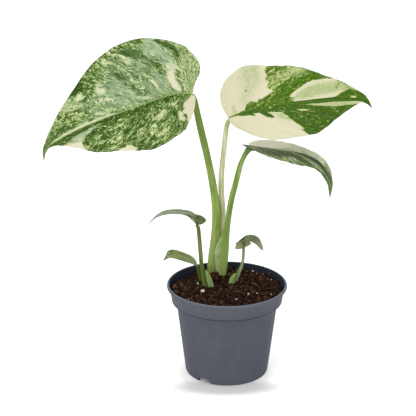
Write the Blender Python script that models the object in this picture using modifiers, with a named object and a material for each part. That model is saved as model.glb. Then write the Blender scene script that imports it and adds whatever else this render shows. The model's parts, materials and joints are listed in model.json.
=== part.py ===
"""Variegated young monstera in a 12 cm nursery pot, as separate named solids.

Frame: +Z up, front along -Y, origin on the ground under the middle of the plant's bounding box. Lengths in
the tables are in millimetres, counted from the foot of the pot's axis, which POT_AXIS places in that frame.
"""

import math

import bmesh
import bpy
from mathutils import Vector, noise

MM = 0.001
GAP = 0.3
POT_AXIS = (19.0, -7.4)

POT_HEIGHT = 93.0
LIP_RADIUS = 60.0
COLLAR_RADIUS = 57.0
COLLAR_FOOT_RADIUS = 55.3
COLLAR_DEPTH = 17.5
BODY_TOP_RADIUS = 50.0
BODY_TOP_Z = 70.0
FOOT_RADIUS = 41.6
FOOT_INNER_RADIUS = 38.6
FOOT_HEIGHT = 4.5
POT_WALL = 1.2
POT_STEPS = 60
POT_FLOOR = FOOT_HEIGHT + POT_WALL + 0.2
NOTCH_WIDTH = 14.5
NOTCH_HEIGHT = 4.0
NOTCH_CORNER = 1.5
NOTCH_REACH = 10.0
NOTCH_COUNT = 2
FIRST_NOTCH_DEG = -32.7
DRAIN_HOLE_RADIUS = 4.0
DRAIN_RING_RADIUS = 25.0
DRAIN_HOLE_COUNT = 6
CUTTER_SIDES = 20

SOIL_LEVEL = 86.3
SOIL_SIDES = 48
SOIL_RINGS = 9
PLANTED_BOTTOM = 73.0

BLADE_THICKNESS = 0.7
# Veins on each half, steps along a vein, and the share of the margin that the veins from the petiole reach.
VEIN_STEPS = 17
ACROSS_STEPS = 5
FAN_SHARE = 0.3
# How fast the veins' feet spread along the midrib, where a vein turns (shares of its run along and across the
# blade), the rounding of the midrib's crease, and the share of the length over which base_fold fades.
VEIN_SPREAD = 1.8
VEIN_TURN = (0.35, 0.6)
CREASE = 3.0
BASE_REACH = 0.25

STALK_STEP = 8.0
FEWEST_STALK_STEPS = 8
DOME_TURNS = (0.0, 35.0, 65.0, 82.0)

# Shoots where they enter the compost: x, y, radius.
MAIN_BACK_STEM = (-14.6, 40.8, 5.3)
CREAM_STEM = (-5.0, 43.6, 2.9)
LEFT_STEM = (-21.9, 3.0, 2.5)
LOWER_LEFT_STEM = (-27.1, 20.0, 1.5)
RIGHT_STEM = (8.2, 12.2, 2.0)

# Lumps all over the compost (waves a millimetre, height), then its heaps and hollows (x, y, height, spread).
SOIL_LUMPS = ((0.13, 0.9), (0.31, 0.7))
SOIL_HEAPS = (
    (-3.0, 42.0, 4.2, 16.0),
    (-20.0, 2.0, 1.4, 11.0),
    (8.0, 12.0, 1.4, 11.0),
    (-42.0, 33.0, -2.8, 9.0),
    (-53.0, 4.0, 2.2, 9.0),
    (30.0, -30.0, 0.6, 18.0),
)

# The bark chip: its place, its size, the rounding of its edges, where its broad face looks and its lift.
CHIP_PLACE = (-12.8, 25.4)
CHIP_SIZE = (6.6, 3.0, 8.2)
CHIP_EDGE = 1.1
CHIP_FACES = (0.25, 1.0, -0.45)
CHIP_LIFT = 1.8

# Larger perlite grains: how lumpy they are, how far they stand out (both as shares of the radius), then x, y
# and radius of each.
GRAIN_LUMP = 0.22
GRAIN_RISE = 0.25
PERLITE = (
    (-24.1, -10.0, 2.1),
    (-29.1, 10.6, 1.2),
    (-29.3, -2.0, 1.2),
    (21.0, -15.7, 1.3),
    (8.9, -27.0, 1.2),
    (17.2, -37.5, 1.2),
    (29.7, -14.6, 1.2),
    (43.8, -14.9, 1.2),
    (14.0, 47.5, 1.5),
    (27.3, 43.4, 1.3),
    (45.1, 19.3, 1.1),
    (-38.0, -26.0, 1.4),
)


def clear_scene():
    for item in list(bpy.data.objects):
        bpy.data.objects.remove(item, do_unlink=True)


def add_root(collection):
    """The empty that carries every piece, standing at the foot of the pot's axis."""
    root = bpy.data.objects.new("pot_axis", None)
    root.location = (POT_AXIS[0] * MM, POT_AXIS[1] * MM, 0.0)
    collection.objects.link(root)


def new_collection(name):
    collection = bpy.data.collections.new(name)
    bpy.context.scene.collection.children.link(collection)
    return collection


def material(name, colour, roughness):
    """A plain Principled finish: colour is linear RGB."""
    made = bpy.data.materials.new(name)
    made.use_nodes = True
    shader = made.node_tree.nodes["Principled BSDF"]
    shader.inputs["Base Color"].default_value = (*colour, 1.0)
    shader.inputs["Roughness"].default_value = roughness
    shader.inputs["Metallic"].default_value = 0.0
    made.diffuse_color = (*colour, 1.0)
    return made


def add_object(name, data, finish, collection):
    made = bpy.data.objects.new(name, data)
    if finish is not None:
        data.materials.append(finish)
    made.parent = bpy.data.objects["pot_axis"]
    collection.objects.link(made)
    return made


def mesh_of(name, shape, smooth=True):
    """Turns a bmesh in millimetres into a mesh in metres."""
    for vertex in shape.verts:
        vertex.co *= MM
    mesh = bpy.data.meshes.new(name)
    shape.to_mesh(mesh)
    shape.free()
    if smooth:
        mesh.shade_smooth()
    return mesh


def smooth_curve(points, per_span):
    """Catmull-Rom points through a short list of points of any size."""
    rows = [Vector(point) for point in points]
    rows = [2 * rows[0] - rows[1], *rows, 2 * rows[-1] - rows[-2]]
    made = []
    for a, b, c, d in zip(rows, rows[1:], rows[2:], rows[3:]):
        for step in range(per_span):
            t = step / per_span
            made.append(
                0.5
                * (
                    2 * b
                    + (c - a) * t
                    + (2 * a - 5 * b + 4 * c - d) * t**2
                    + (3 * b - a - 3 * c + d) * t**3
                )
            )
    return [*made, rows[-2]]


class Track:
    """A smooth curve that is read by its share of length, from 0 to 1."""

    def __init__(self, points):
        self.rows = smooth_curve(points, 16)
        self.sums = [0.0]
        for a, b in zip(self.rows, self.rows[1:]):
            self.sums.append(self.sums[-1] + (b - a).length)
        self.length = self.sums[-1]

    def at(self, share):
        wanted = min(max(share, 0.0), 1.0) * self.length
        low, high = 0, len(self.sums) - 1
        while high - low > 1:
            middle = (low + high) // 2
            if self.sums[middle] <= wanted:
                low = middle
            else:
                high = middle
        part = (wanted - self.sums[low]) / (self.sums[high] - self.sums[low])
        return self.rows[low].lerp(self.rows[high], part)

    def direction(self, share):
        step = 0.01
        return (self.at(share + step) - self.at(share - step)).normalized()


class Blade:
    """A leaf blade: a flat outline on a sheet bent along its midrib.

    x runs along the midrib from the petiole to the tip. y is the distance from the midrib, above 0 on the
    left as one looks to the tip. up_base and up_tip say which way the upper face looks at the two ends. Each
    half rises from the midrib by its fold in degrees, and base_fold holds near the petiole.
    """

    def __init__(self, midrib, up_base, up_tip, left, right, fold, base_fold=None):
        self.track = Track(midrib)
        self.length = self.track.length
        self.up_base = Vector(up_base)
        self.up_tip = Vector(up_tip)
        self.halves = {1: left, -1: right}
        self.fold = dict(zip((1, -1), fold))
        self.base_fold = dict(zip((1, -1), base_fold or fold))

    def frame(self, x):
        share = min(max(x / self.length, 0.0), 1.0)
        along = self.track.direction(share)
        up = self.up_base.lerp(self.up_tip, share)
        up = (up - along * up.dot(along)).normalized()
        return self.track.at(share) + along * min(x, 0.0), up, up.cross(along)

    def point(self, x, y):
        side = 1 if y >= 0 else -1
        centre, up, left = self.frame(x)
        near_base = math.exp(-((max(x, 0.0) / (BASE_REACH * self.length)) ** 2))
        fold = self.fold[side] + (self.base_fold[side] - self.fold[side]) * near_base
        angle = math.radians(fold)
        rise = math.sin(angle) * (math.hypot(y, CREASE) - CREASE)
        return centre + left * (y * math.cos(angle)) + up * rise

    def vein(self, side, row):
        """Points from the midrib to the margin along the lateral vein of this row."""
        rim = Track([(x, y, 0.0) for x, y in self.halves[side]])
        share = (row + 1) / (VEIN_STEPS + 1)
        if row == 0:
            return [rim.at(share * r / ACROSS_STEPS) for r in range(ACROSS_STEPS + 1)]
        foot = max((share - FAN_SHARE) / (1 - FAN_SHARE), 0.0) ** VEIN_SPREAD
        start = Vector((self.length * foot, 0.0, 0.0))
        end = rim.at(share)
        turn = Vector((start.x + VEIN_TURN[0] * (end.x - start.x), VEIN_TURN[1] * end.y, 0.0))
        points = []
        for step in range(ACROSS_STEPS + 1):
            r = step / ACROSS_STEPS
            points.append(start.lerp(turn, r).lerp(turn.lerp(end, r), r))
        return points

    def sheet(self):
        """The blade's middle surface, as a bmesh with both halves joined at the midrib."""
        shape = bmesh.new()
        for side in (1, -1):
            rows = []
            for row in range(VEIN_STEPS + 1):
                flat = self.vein(side, row)
                rows.append([shape.verts.new(self.point(p.x, side * p.y)) for p in flat])
            for first, second in zip(rows, rows[1:]):
                for k in range(ACROSS_STEPS):
                    corners = [first[k], second[k], second[k + 1], first[k + 1]]
                    shape.faces.new(corners if side < 0 else corners[::-1])
        bmesh.ops.remove_doubles(shape, verts=shape.verts, dist=0.02)
        bmesh.ops.dissolve_degenerate(shape, edges=shape.edges, dist=0.01)
        bmesh.ops.triangulate(shape, faces=shape.faces)
        return shape


def add_blade(name, blade, finish, collection):
    made = add_object(name, mesh_of(name, blade.sheet()), finish, collection)
    wall = made.modifiers.new("thickness", "SOLIDIFY")
    wall.thickness = BLADE_THICKNESS * MM
    wall.offset = 0.0
    return made


def add_stalk(name, path, radii, finish, collection):
    """A round stalk as a bevelled curve. radii are spread evenly along it, and its top end is domed."""
    track = Track(path)
    sizes = Track([(radius, 0.0, index) for index, radius in enumerate(radii)])
    count = max(FEWEST_STALK_STEPS, round(track.length / STALK_STEP))
    rows = [(track.at(k / count), sizes.at(k / count).x) for k in range(count + 1)]
    end, radius = rows.pop()
    along = track.direction(1.0)
    for turn in DOME_TURNS:
        angle = math.radians(turn)
        back = along * radius * (1.0 - math.sin(angle))
        rows.append((end - back, radius * math.cos(angle)))
    curve = bpy.data.curves.new(name, "CURVE")
    curve.dimensions = "3D"
    curve.bevel_depth = MM
    curve.bevel_resolution = 3
    curve.use_fill_caps = True
    spline = curve.splines.new("POLY")
    spline.points.add(len(rows) - 1)
    for point, (place, radius) in zip(spline.points, rows):
        point.co = (*(place * MM), 1.0)
        point.radius = radius
    spline.use_smooth = True
    return add_object(name, curve, finish, collection)


def lofted(sections, sides=16, grow=0.0):
    """A closed body through level ellipses, each given as x, y, z and its two radii."""
    shape = bmesh.new()
    rings = []
    for x, y, z, wide, deep in sections:
        ring = []
        for k in range(sides):
            angle = 2 * math.pi * k / sides
            place = (x + (wide + grow) * math.cos(angle), y + (deep + grow) * math.sin(angle), z)
            ring.append(shape.verts.new(place))
        rings.append(ring)
    for low, high in zip(rings, rings[1:]):
        for k in range(sides):
            after = (k + 1) % sides
            shape.faces.new([low[k], low[after], high[after], high[k]])
    shape.faces.new(rings[0][::-1])
    shape.faces.new(rings[-1])
    return shape


def column(x, y, radius, bottom, top):
    """An upright round column, for a cutter."""
    return lofted([(x, y, bottom, radius, radius), (x, y, top, radius, radius)], CUTTER_SIDES)


def add_cutter(name, shape, collection):
    cutter = add_object(name, mesh_of(name, shape, smooth=False), None, collection)
    cutter.hide_render = True
    cutter.display_type = "WIRE"
    return cutter


def cut(target, cutter):
    step = target.modifiers.new(cutter.name, "BOOLEAN")
    step.operation = "DIFFERENCE"
    step.solver = "EXACT"
    step.object = cutter


def pot_inside_radius(z):
    """The pot's inner wall below the collar, at height z."""
    slope = (BODY_TOP_RADIUS - FOOT_RADIUS) / BODY_TOP_Z
    return FOOT_RADIUS + slope * z - POT_WALL


def pot_profile():
    """Half section of the pot: up the inside from the floor, over the lip and down the outside."""
    collar_z = POT_HEIGHT - COLLAR_DEPTH
    inside = [
        (0.0, POT_FLOOR),
        (pot_inside_radius(POT_FLOOR) - 2.0, POT_FLOOR),
        (pot_inside_radius(POT_FLOOR + 2.0), POT_FLOOR + 2.0),
        (pot_inside_radius(BODY_TOP_Z), BODY_TOP_Z + 0.3),
        (COLLAR_FOOT_RADIUS - POT_WALL - 0.3, collar_z + 0.6),
        (COLLAR_RADIUS - POT_WALL, POT_HEIGHT - 3.6),
        (LIP_RADIUS - 2.6, POT_HEIGHT - 0.9),
    ]
    lip = [
        (LIP_RADIUS - 1.9, POT_HEIGHT - 0.1),
        (LIP_RADIUS - 1.2, POT_HEIGHT),
        (LIP_RADIUS - 0.4, POT_HEIGHT - 0.4),
        (LIP_RADIUS, POT_HEIGHT - 1.2),
        (LIP_RADIUS, POT_HEIGHT - 2.6),
        (LIP_RADIUS - 0.5, POT_HEIGHT - 3.3),
        (COLLAR_RADIUS + 0.4, POT_HEIGHT - 3.7),
        (COLLAR_RADIUS, POT_HEIGHT - 4.3),
    ]
    outside = [
        (COLLAR_FOOT_RADIUS, collar_z + 0.6),
        (COLLAR_FOOT_RADIUS - 0.5, collar_z),
        (BODY_TOP_RADIUS + 0.5, BODY_TOP_Z + 0.6),
        (BODY_TOP_RADIUS - 0.1, BODY_TOP_Z - 0.6),
        (FOOT_RADIUS + 0.35, 2.6),
        (FOOT_RADIUS - 0.1, 0.9),
        (FOOT_RADIUS - 0.9, 0.0),
        (FOOT_INNER_RADIUS, 0.0),
        (FOOT_INNER_RADIUS - 0.3, FOOT_HEIGHT - 0.6),
        (FOOT_INNER_RADIUS - 1.0, FOOT_HEIGHT),
        (0.0, FOOT_HEIGHT),
    ]
    return inside + lip + outside


def add_pot(finish, collection, cutters):
    shape = bmesh.new()
    rows = [shape.verts.new((radius, 0.0, z)) for radius, z in pot_profile()]
    for a, b in zip(rows, rows[1:]):
        shape.edges.new((a, b))
    pot = add_object("pot", mesh_of("pot", shape, smooth=False), finish, collection)
    turn = pot.modifiers.new("turned", "SCREW")
    turn.axis = "Z"
    turn.steps = POT_STEPS
    turn.render_steps = POT_STEPS
    turn.use_merge_vertices = True
    turn.merge_threshold = 0.0001
    turn.use_smooth_shade = True
    for index in range(NOTCH_COUNT):
        angle = math.radians(FIRST_NOTCH_DEG - 90.0 + index * 360.0 / NOTCH_COUNT)
        shape = bmesh.new()
        bmesh.ops.create_cube(shape, size=1.0)
        size = (NOTCH_REACH, NOTCH_WIDTH, 2 * NOTCH_HEIGHT)
        bmesh.ops.scale(shape, vec=size, verts=shape.verts)
        long = [edge for edge in shape.edges if abs(edge.verts[0].co.x - edge.verts[1].co.x) > 1.0]
        bmesh.ops.bevel(shape, geom=long, offset=NOTCH_CORNER, segments=3, affect="EDGES", profile=0.5)
        notch = add_cutter(f"notch_{index + 1}", shape, cutters)
        reach = FOOT_RADIUS * MM
        notch.location = (reach * math.cos(angle), reach * math.sin(angle), 0.0)
        notch.rotation_euler = (0.0, 0.0, angle)
        cut(pot, notch)
    for index in range(DRAIN_HOLE_COUNT):
        angle = 2 * math.pi * index / DRAIN_HOLE_COUNT
        x = DRAIN_RING_RADIUS * math.cos(angle)
        y = DRAIN_RING_RADIUS * math.sin(angle)
        hole = column(x, y, DRAIN_HOLE_RADIUS, FOOT_HEIGHT - 2.0, FOOT_HEIGHT + 4.0)
        cut(pot, add_cutter(f"drain_{index + 1}", hole, cutters))


def soil_height(x, y):
    """Height of the compost's surface: level, heaped at the shoots and crumbly."""
    height = SOIL_LEVEL
    for heap_x, heap_y, rise, spread in SOIL_HEAPS:
        height += rise * math.exp(-((x - heap_x) ** 2 + (y - heap_y) ** 2) / (2 * spread**2))
    for waves, lump in SOIL_LUMPS:
        height += lump * noise.noise(Vector((x, y, 0.0)) * waves)
    return height


def soil_body():
    """The compost's solid: its crumbly top, its side just inside the pot's wall and its flat base."""
    collar_z = POT_HEIGHT - COLLAR_DEPTH
    floor = POT_FLOOR + GAP
    top_radius = COLLAR_RADIUS - POT_WALL - GAP - 0.6
    wall = [
        (COLLAR_FOOT_RADIUS - POT_WALL - 0.3 - GAP, collar_z + 1.0),
        (pot_inside_radius(BODY_TOP_Z) - GAP - 0.2, BODY_TOP_Z + 0.3),
        (pot_inside_radius(floor + 2.0) - GAP - 0.2, floor + 2.0),
        (pot_inside_radius(floor) - 2.6, floor),
    ]
    shape = bmesh.new()
    centre = shape.verts.new((0.0, 0.0, soil_height(0.0, 0.0)))
    loops = []
    for ring in range(1, SOIL_RINGS + 1):
        radius = top_radius * ring / SOIL_RINGS
        loop = []
        for k in range(SOIL_SIDES):
            angle = 2 * math.pi * k / SOIL_SIDES
            x, y = radius * math.cos(angle), radius * math.sin(angle)
            loop.append(shape.verts.new((x, y, soil_height(x, y))))
        loops.append(loop)
    for radius, z in wall:
        loop = []
        for k in range(SOIL_SIDES):
            angle = 2 * math.pi * k / SOIL_SIDES
            loop.append(shape.verts.new((radius * math.cos(angle), radius * math.sin(angle), z)))
        loops.append(loop)
    for k in range(SOIL_SIDES):
        shape.faces.new([centre, loops[0][k], loops[0][(k + 1) % SOIL_SIDES]])
    for inner, outer in zip(loops, loops[1:]):
        for k in range(SOIL_SIDES):
            after = (k + 1) % SOIL_SIDES
            shape.faces.new([inner[k], outer[k], outer[after], inner[after]])
    shape.faces.new(loops[-1][::-1])
    return shape


def grain_shape(x, y, radius, seed, grow=0.0):
    """A lumpy grain half sunk in the compost's surface."""
    shape = bmesh.new()
    bmesh.ops.create_icosphere(shape, subdivisions=1, radius=1.0)
    centre = Vector((x, y, soil_height(x, y) + GRAIN_RISE * radius))
    for vertex in shape.verts:
        lump = 1.0 + GRAIN_LUMP * noise.noise(vertex.co * 1.7 + Vector((seed, 0.0, 0.0)))
        vertex.co = centre + vertex.co * (radius * lump + grow)
    return shape


def chip_shape(grow=0.0):
    """A flat chip of bark lying on edge against the main shoot, its foot sunk in the compost."""
    shape = bmesh.new()
    bmesh.ops.create_cube(shape, size=1.0)
    size = [side + 2 * grow for side in CHIP_SIZE]
    bmesh.ops.scale(shape, vec=size, verts=shape.verts)
    edges = shape.edges[:]
    bmesh.ops.bevel(shape, geom=edges, offset=CHIP_EDGE + grow, segments=2, affect="EDGES", profile=0.6)
    lean = Vector((0.0, 1.0, 0.0)).rotation_difference(Vector(CHIP_FACES)).to_matrix()
    bmesh.ops.rotate(shape, cent=(0.0, 0.0, 0.0), matrix=lean, verts=shape.verts)
    x, y = CHIP_PLACE
    bmesh.ops.translate(shape, vec=(x, y, soil_height(x, y) + CHIP_LIFT), verts=shape.verts)
    return shape


LEFT_LARGE = Blade(
    midrib=[
        (-33.9, 18.0, 283.6),
        (-54.1, 15.0, 283.3),
        (-88.2, 9.0, 272.6),
        (-122.1, 3.0, 261.6),
        (-152.7, -3.0, 249.2),
        (-172.9, -9.0, 236.8),
        (-177.0, -12.0, 222.6),
    ],
    up_base=(0.0, -0.63, 0.78),
    up_tip=(0.0, -0.63, 0.78),
    left=[
        (0, 0), (-2, 6), (0, 19), (3, 32), (6, 42), (13, 54), (24, 60.5), (38, 65), (50, 68.5),
        (60, 68.5), (71, 63.5), (85, 55), (100, 48.5), (113, 38.5), (123, 27), (133, 16), (142, 6.2),
        (149, 1.8), (155, 0.8), (166, 0),
    ],
    right=[
        (0, 0), (-1, 6), (-3, 12), (-8, 19.5), (-9.5, 26), (-8, 34), (-1, 43.5), (10, 51),
        (19, 58.5), (28, 63.5), (40, 66.2), (59, 65.2), (77, 59.2), (90, 51), (106, 39), (122, 27),
        (140, 12.8), (153, 4), (166, 0),
    ],
    fold=(18, 18),
)
CREAM = Blade(
    midrib=[
        (0.9, 25.0, 256.8),
        (15.1, 24.0, 262.8),
        (28.4, 22.0, 267.5),
        (56.0, 18.0, 273.1),
        (89.0, 14.0, 277.1),
        (121.6, 9.0, 279.9),
        (132.4, 6.0, 278.5),
        (139.1, 4.0, 272.4),
    ],
    up_base=(0.0, -0.46, 0.89),
    up_tip=(0.0, -0.46, 0.89),
    left=[
        (0, 0), (-1, 5), (-3.4, 16), (-3.2, 32), (2, 43.5), (9.5, 52), (16, 57.5), (23, 61),
        (32, 58.5), (42, 55), (54, 53), (67, 50), (81, 43.5), (98, 33), (111, 26), (122, 17),
        (132, 8.5), (139, 3), (145.5, 0),
    ],
    right=[
        (0, 0), (0.5, 3), (2, 10), (6, 18), (12, 26.5), (21, 35.5), (30, 43), (42, 50.5), (53, 54),
        (68, 54), (81, 51.5), (90, 49), (101, 39.5), (113, 24.5), (121, 15), (130, 6), (137, 2),
        (145.5, 0),
    ],
    fold=(5, 5),
)
DROOPING = Blade(
    midrib=[
        (21.4, 10.0, 233.8),
        (40.7, 8.5, 231.0),
        (65.5, 5.0, 227.1),
        (87.4, 1.0, 216.3),
        (98.7, -3.0, 199.4),
        (99.9, -6.0, 184.5),
    ],
    up_base=(-0.02, 0.07, 1.0),
    up_tip=(1.0, -0.4, 0.35),
    left=[
        (0, 0), (-1, 7), (3, 17), (13, 26), (24, 27.5), (40, 25), (56, 23.5), (68, 22.5), (80, 18.5),
        (88, 13), (97, 6), (106, 0),
    ],
    right=[
        (0, 0), (-6, 1.5), (-8, 8), (-4, 16), (6, 20), (20, 24), (36, 25.5), (50, 23), (62, 16),
        (75, 9.5), (88, 6), (98, 3.5), (106, 0),
    ],
    fold=(1.5, -3),
)


def heart(length, width, lobe):
    """Half the outline of a small heart-shaped blade: its lobe reaches back behind the petiole."""
    return [
        (0.0, 0.0),
        (-0.6 * lobe, 0.2 * width),
        (-lobe, 0.5 * width),
        (-0.6 * lobe, 0.8 * width),
        (0.12 * length, 0.97 * width),
        (0.32 * length, width),
        (0.55 * length, 0.84 * width),
        (0.75 * length, 0.5 * width),
        (0.9 * length, 0.16 * width),
        (length, 0.0),
    ]


LEFT_UPPER = Blade(
    midrib=[
        (-28.7, 3.0, 155.0),
        (-33.3, 3.0, 161.2),
        (-38.7, 3.0, 165.0),
        (-46.6, 3.0, 166.9),
        (-56.4, 2.0, 167.5),
        (-64.2, 1.0, 166.3),
        (-71.1, 0.5, 162.6),
        (-77.8, 0.0, 156.1),
    ],
    up_base=(0.8, 0.1, 0.6),
    up_tip=(-0.5, 0.12, 0.9),
    left=[(0, 0), (-1.5, 7), (0, 13.5), (5, 15), (12, 13.8), (20, 12.6), *heart(58.0, 13.0, 0.0)[6:]],
    right=heart(58.0, 13.0, 4.0),
    fold=(2, 2),
    base_fold=(55, 14),
)
LEFT_LOWER = Blade(
    midrib=[
        (-30.6, 20.0, 106.7),
        (-35.2, 20.0, 110.4),
        (-43.2, 20.0, 113.6),
        (-51.3, 20.0, 116.0),
        (-57.3, 20.0, 116.4),
        (-60.9, 20.0, 113.8),
        (-64.2, 20.0, 111.2),
    ],
    up_base=(0.4, -0.02, 0.9),
    up_tip=(-0.4, -0.02, 0.9),
    left=heart(38.0, 11.0, 1.5),
    right=heart(38.0, 7.5, 1.5),
    fold=(2, 2),
)
RIGHT_SMALL = Blade(
    midrib=[
        (15.2, 9.0, 137.6),
        (19.2, 9.0, 140.5),
        (25.6, 9.0, 140.9),
        (31.4, 9.0, 137.9),
        (34.8, 9.0, 131.0),
        (36.8, 9.0, 123.0),
    ],
    up_base=(-0.4, 0.0, 0.9),
    up_tip=(0.9, 0.0, 0.3),
    left=heart(31.0, 13.0, 12.5),
    right=[
        (0, 0), (-6.5, 2.2), (-11.5, 5.5), (-7, 9.5), (3, 12), (9.6, 12.5), (16.5, 12), (23, 9.2), (28, 4.2),
        (31, 0),
    ],
    fold=(-40, -14),
    base_fold=(-66, -14),
)

# Stalks: name, shoot, the points above the compost, the radii from foot to top, and the finish.
STALKS = [
    (
        "left_large_petiole",
        MAIN_BACK_STEM,
        [
            (-14.6, 40.8, 93.3),
            (-13.5, 40.8, 105.5),
            (-12.1, 40.3, 117.7),
            (-10.8, 39.2, 134.0),
            (-10.5, 37.4, 150.0),
            (-11.8, 34.5, 169.0),
            (-15.3, 31.0, 193.4),
            (-20.3, 27.0, 219.7),
            (-25.9, 23.0, 245.5),
            (-29.2, 20.8, 262.0),
            (-31.6, 19.6, 274.8),
            (-33.3, 19.2, 279.8),
            (-35.4, 19.1, 282.3),
        ],
        [5.3, 5.3, 5.1, 4.6, 4.1, 3.8, 3.55, 3.5, 3.5, 3.3, 2.4],
        "petiole_green",
    ),
    (
        "cream_petiole",
        CREAM_STEM,
        [
            (-4.9, 43.6, 96.0),
            (-4.5, 43.6, 112.5),
            (-3.9, 43.2, 130.0),
            (-3.8, 42.2, 142.5),
            (-4.2, 40.8, 156.0),
            (-5.6, 37.8, 176.0),
            (-5.7, 35.4, 191.0),
            (-4.8, 33.0, 206.5),
            (-2.6, 29.2, 229.5),
            (-1.3, 27.2, 244.5),
            (0.3, 26.2, 251.5),
            (2.7, 25.7, 255.9),
        ],
        [2.9, 2.9, 2.9, 2.9, 2.9, 2.6, 2.5, 2.2],
        "petiole_cream",
    ),
    (
        "left_upper_petiole",
        LEFT_STEM,
        [
            (-21.9, 3.0, 88.3),
            (-23.0, 3.0, 95.0),
            (-24.8, 3.0, 106.5),
            (-25.7, 3.0, 114.5),
            (-26.3, 3.0, 123.2),
            (-27.7, 3.0, 140.6),
            (-28.7, 3.0, 151.0),
            (-30.9, 2.9, 154.6),
        ],
        [2.5, 2.5, 2.3, 2.0, 2.0, 1.9, 1.7],
        "petiole_green",
    ),
    (
        "left_lower_petiole",
        LOWER_LEFT_STEM,
        [
            (-27.1, 20.0, 89.3),
            (-27.9, 20.0, 93.6),
            (-29.1, 20.0, 100.2),
            (-30.2, 20.0, 103.9),
            (-32.2, 20.0, 106.3),
        ],
        [1.5, 1.5, 1.4, 1.2],
        "petiole_green",
    ),
    (
        "right_small_petiole",
        RIGHT_STEM,
        [
            (8.2, 12.2, 87.7),
            (9.4, 12.0, 92.8),
            (11.9, 11.6, 99.8),
            (14.7, 10.6, 107.8),
            (16.0, 9.6, 113.6),
            (16.4, 9.0, 120.7),
            (16.6, 9.0, 132.8),
            (17.6, 9.0, 136.4),
        ],
        [2.0, 2.0, 1.9, 1.4, 1.4, 1.3],
        "petiole_green",
    ),
]
DROOPING_SECTIONS = [
    (-4.8, 34.3, PLANTED_BOTTOM, 4.0, 3.0),
    (-4.9, 34.1, 86.0, 4.1, 3.1),
    (-5.3, 33.8, 94.0, 5.5, 3.1),
    (-5.2, 33.5, 102.0, 6.5, 3.1),
    (-5.0, 33.2, 114.0, 7.0, 3.1),
    (-3.9, 32.7, 122.0, 6.3, 3.1),
    (-2.3, 32.1, 129.0, 4.9, 3.0),
    (-0.7, 31.2, 135.5, 3.7, 3.0),
    (0.8, 29.2, 146.0, 3.0, 3.0),
    (2.4, 26.6, 160.0, 3.0, 3.0),
    (4.8, 23.6, 175.0, 3.0, 3.0),
    (9.3, 19.2, 195.5, 2.9, 2.9),
    (12.6, 16.0, 211.0, 2.7, 2.7),
    (15.6, 14.0, 219.5, 2.5, 2.5),
    (18.9, 12.2, 227.5, 2.4, 2.3),
    (21.8, 10.6, 232.6, 2.7, 2.2),
]
LEFT_SHEATH = [
    (-16.0, 2.0, 82.0, 2.9, 1.9),
    (-16.0, 2.0, 87.5, 2.9, 1.9),
    (-17.8, 2.0, 95.0, 2.7, 1.8),
    (-19.1, 2.0, 100.0, 2.3, 1.5),
    (-20.4, 2.0, 104.5, 1.3, 1.0),
    (-21.1, 2.0, 106.6, 0.4, 0.4),
]
RIGHT_SHEATH = [
    (5.0, 9.4, 82.0, 1.7, 1.2),
    (5.1, 9.4, 87.0, 1.9, 1.3),
    (6.0, 9.4, 92.0, 1.9, 1.3),
    (7.6, 9.4, 96.0, 1.4, 1.0),
    (9.2, 9.4, 98.6, 0.5, 0.5),
]


def sunk(stem):
    """The buried foot of a stalk: two points under the place where it enters the compost."""
    x, y, _ = stem
    return [(x, y, PLANTED_BOTTOM), (x, y, (PLANTED_BOTTOM + SOIL_LEVEL) / 2)]


def add_soil(finish, collection, cutters):
    """The compost, with a socket round everything that is planted in it or lies sunk in its top."""
    soil = add_object("compost", mesh_of("compost", soil_body()), finish, collection)
    bottom = PLANTED_BOTTOM - GAP
    shapes = []
    for x, y, radius in (MAIN_BACK_STEM, CREAM_STEM, LEFT_STEM, LOWER_LEFT_STEM, RIGHT_STEM):
        shapes.append(column(x, y, radius + GAP, bottom, POT_HEIGHT + 5.0))
    for sections in (DROOPING_SECTIONS[:6], LEFT_SHEATH, RIGHT_SHEATH):
        x, y, z, wide, deep = sections[0]
        shapes.append(lofted([(x, y, z - GAP, wide, deep), *sections[1:]], grow=GAP))
    shapes.append(chip_shape(GAP))
    for seed, (x, y, radius) in enumerate(PERLITE):
        shapes.append(grain_shape(x, y, radius, seed, GAP))
    for index, shape in enumerate(shapes):
        cut(soil, add_cutter(f"socket_{index + 1}", shape, cutters))


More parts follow.
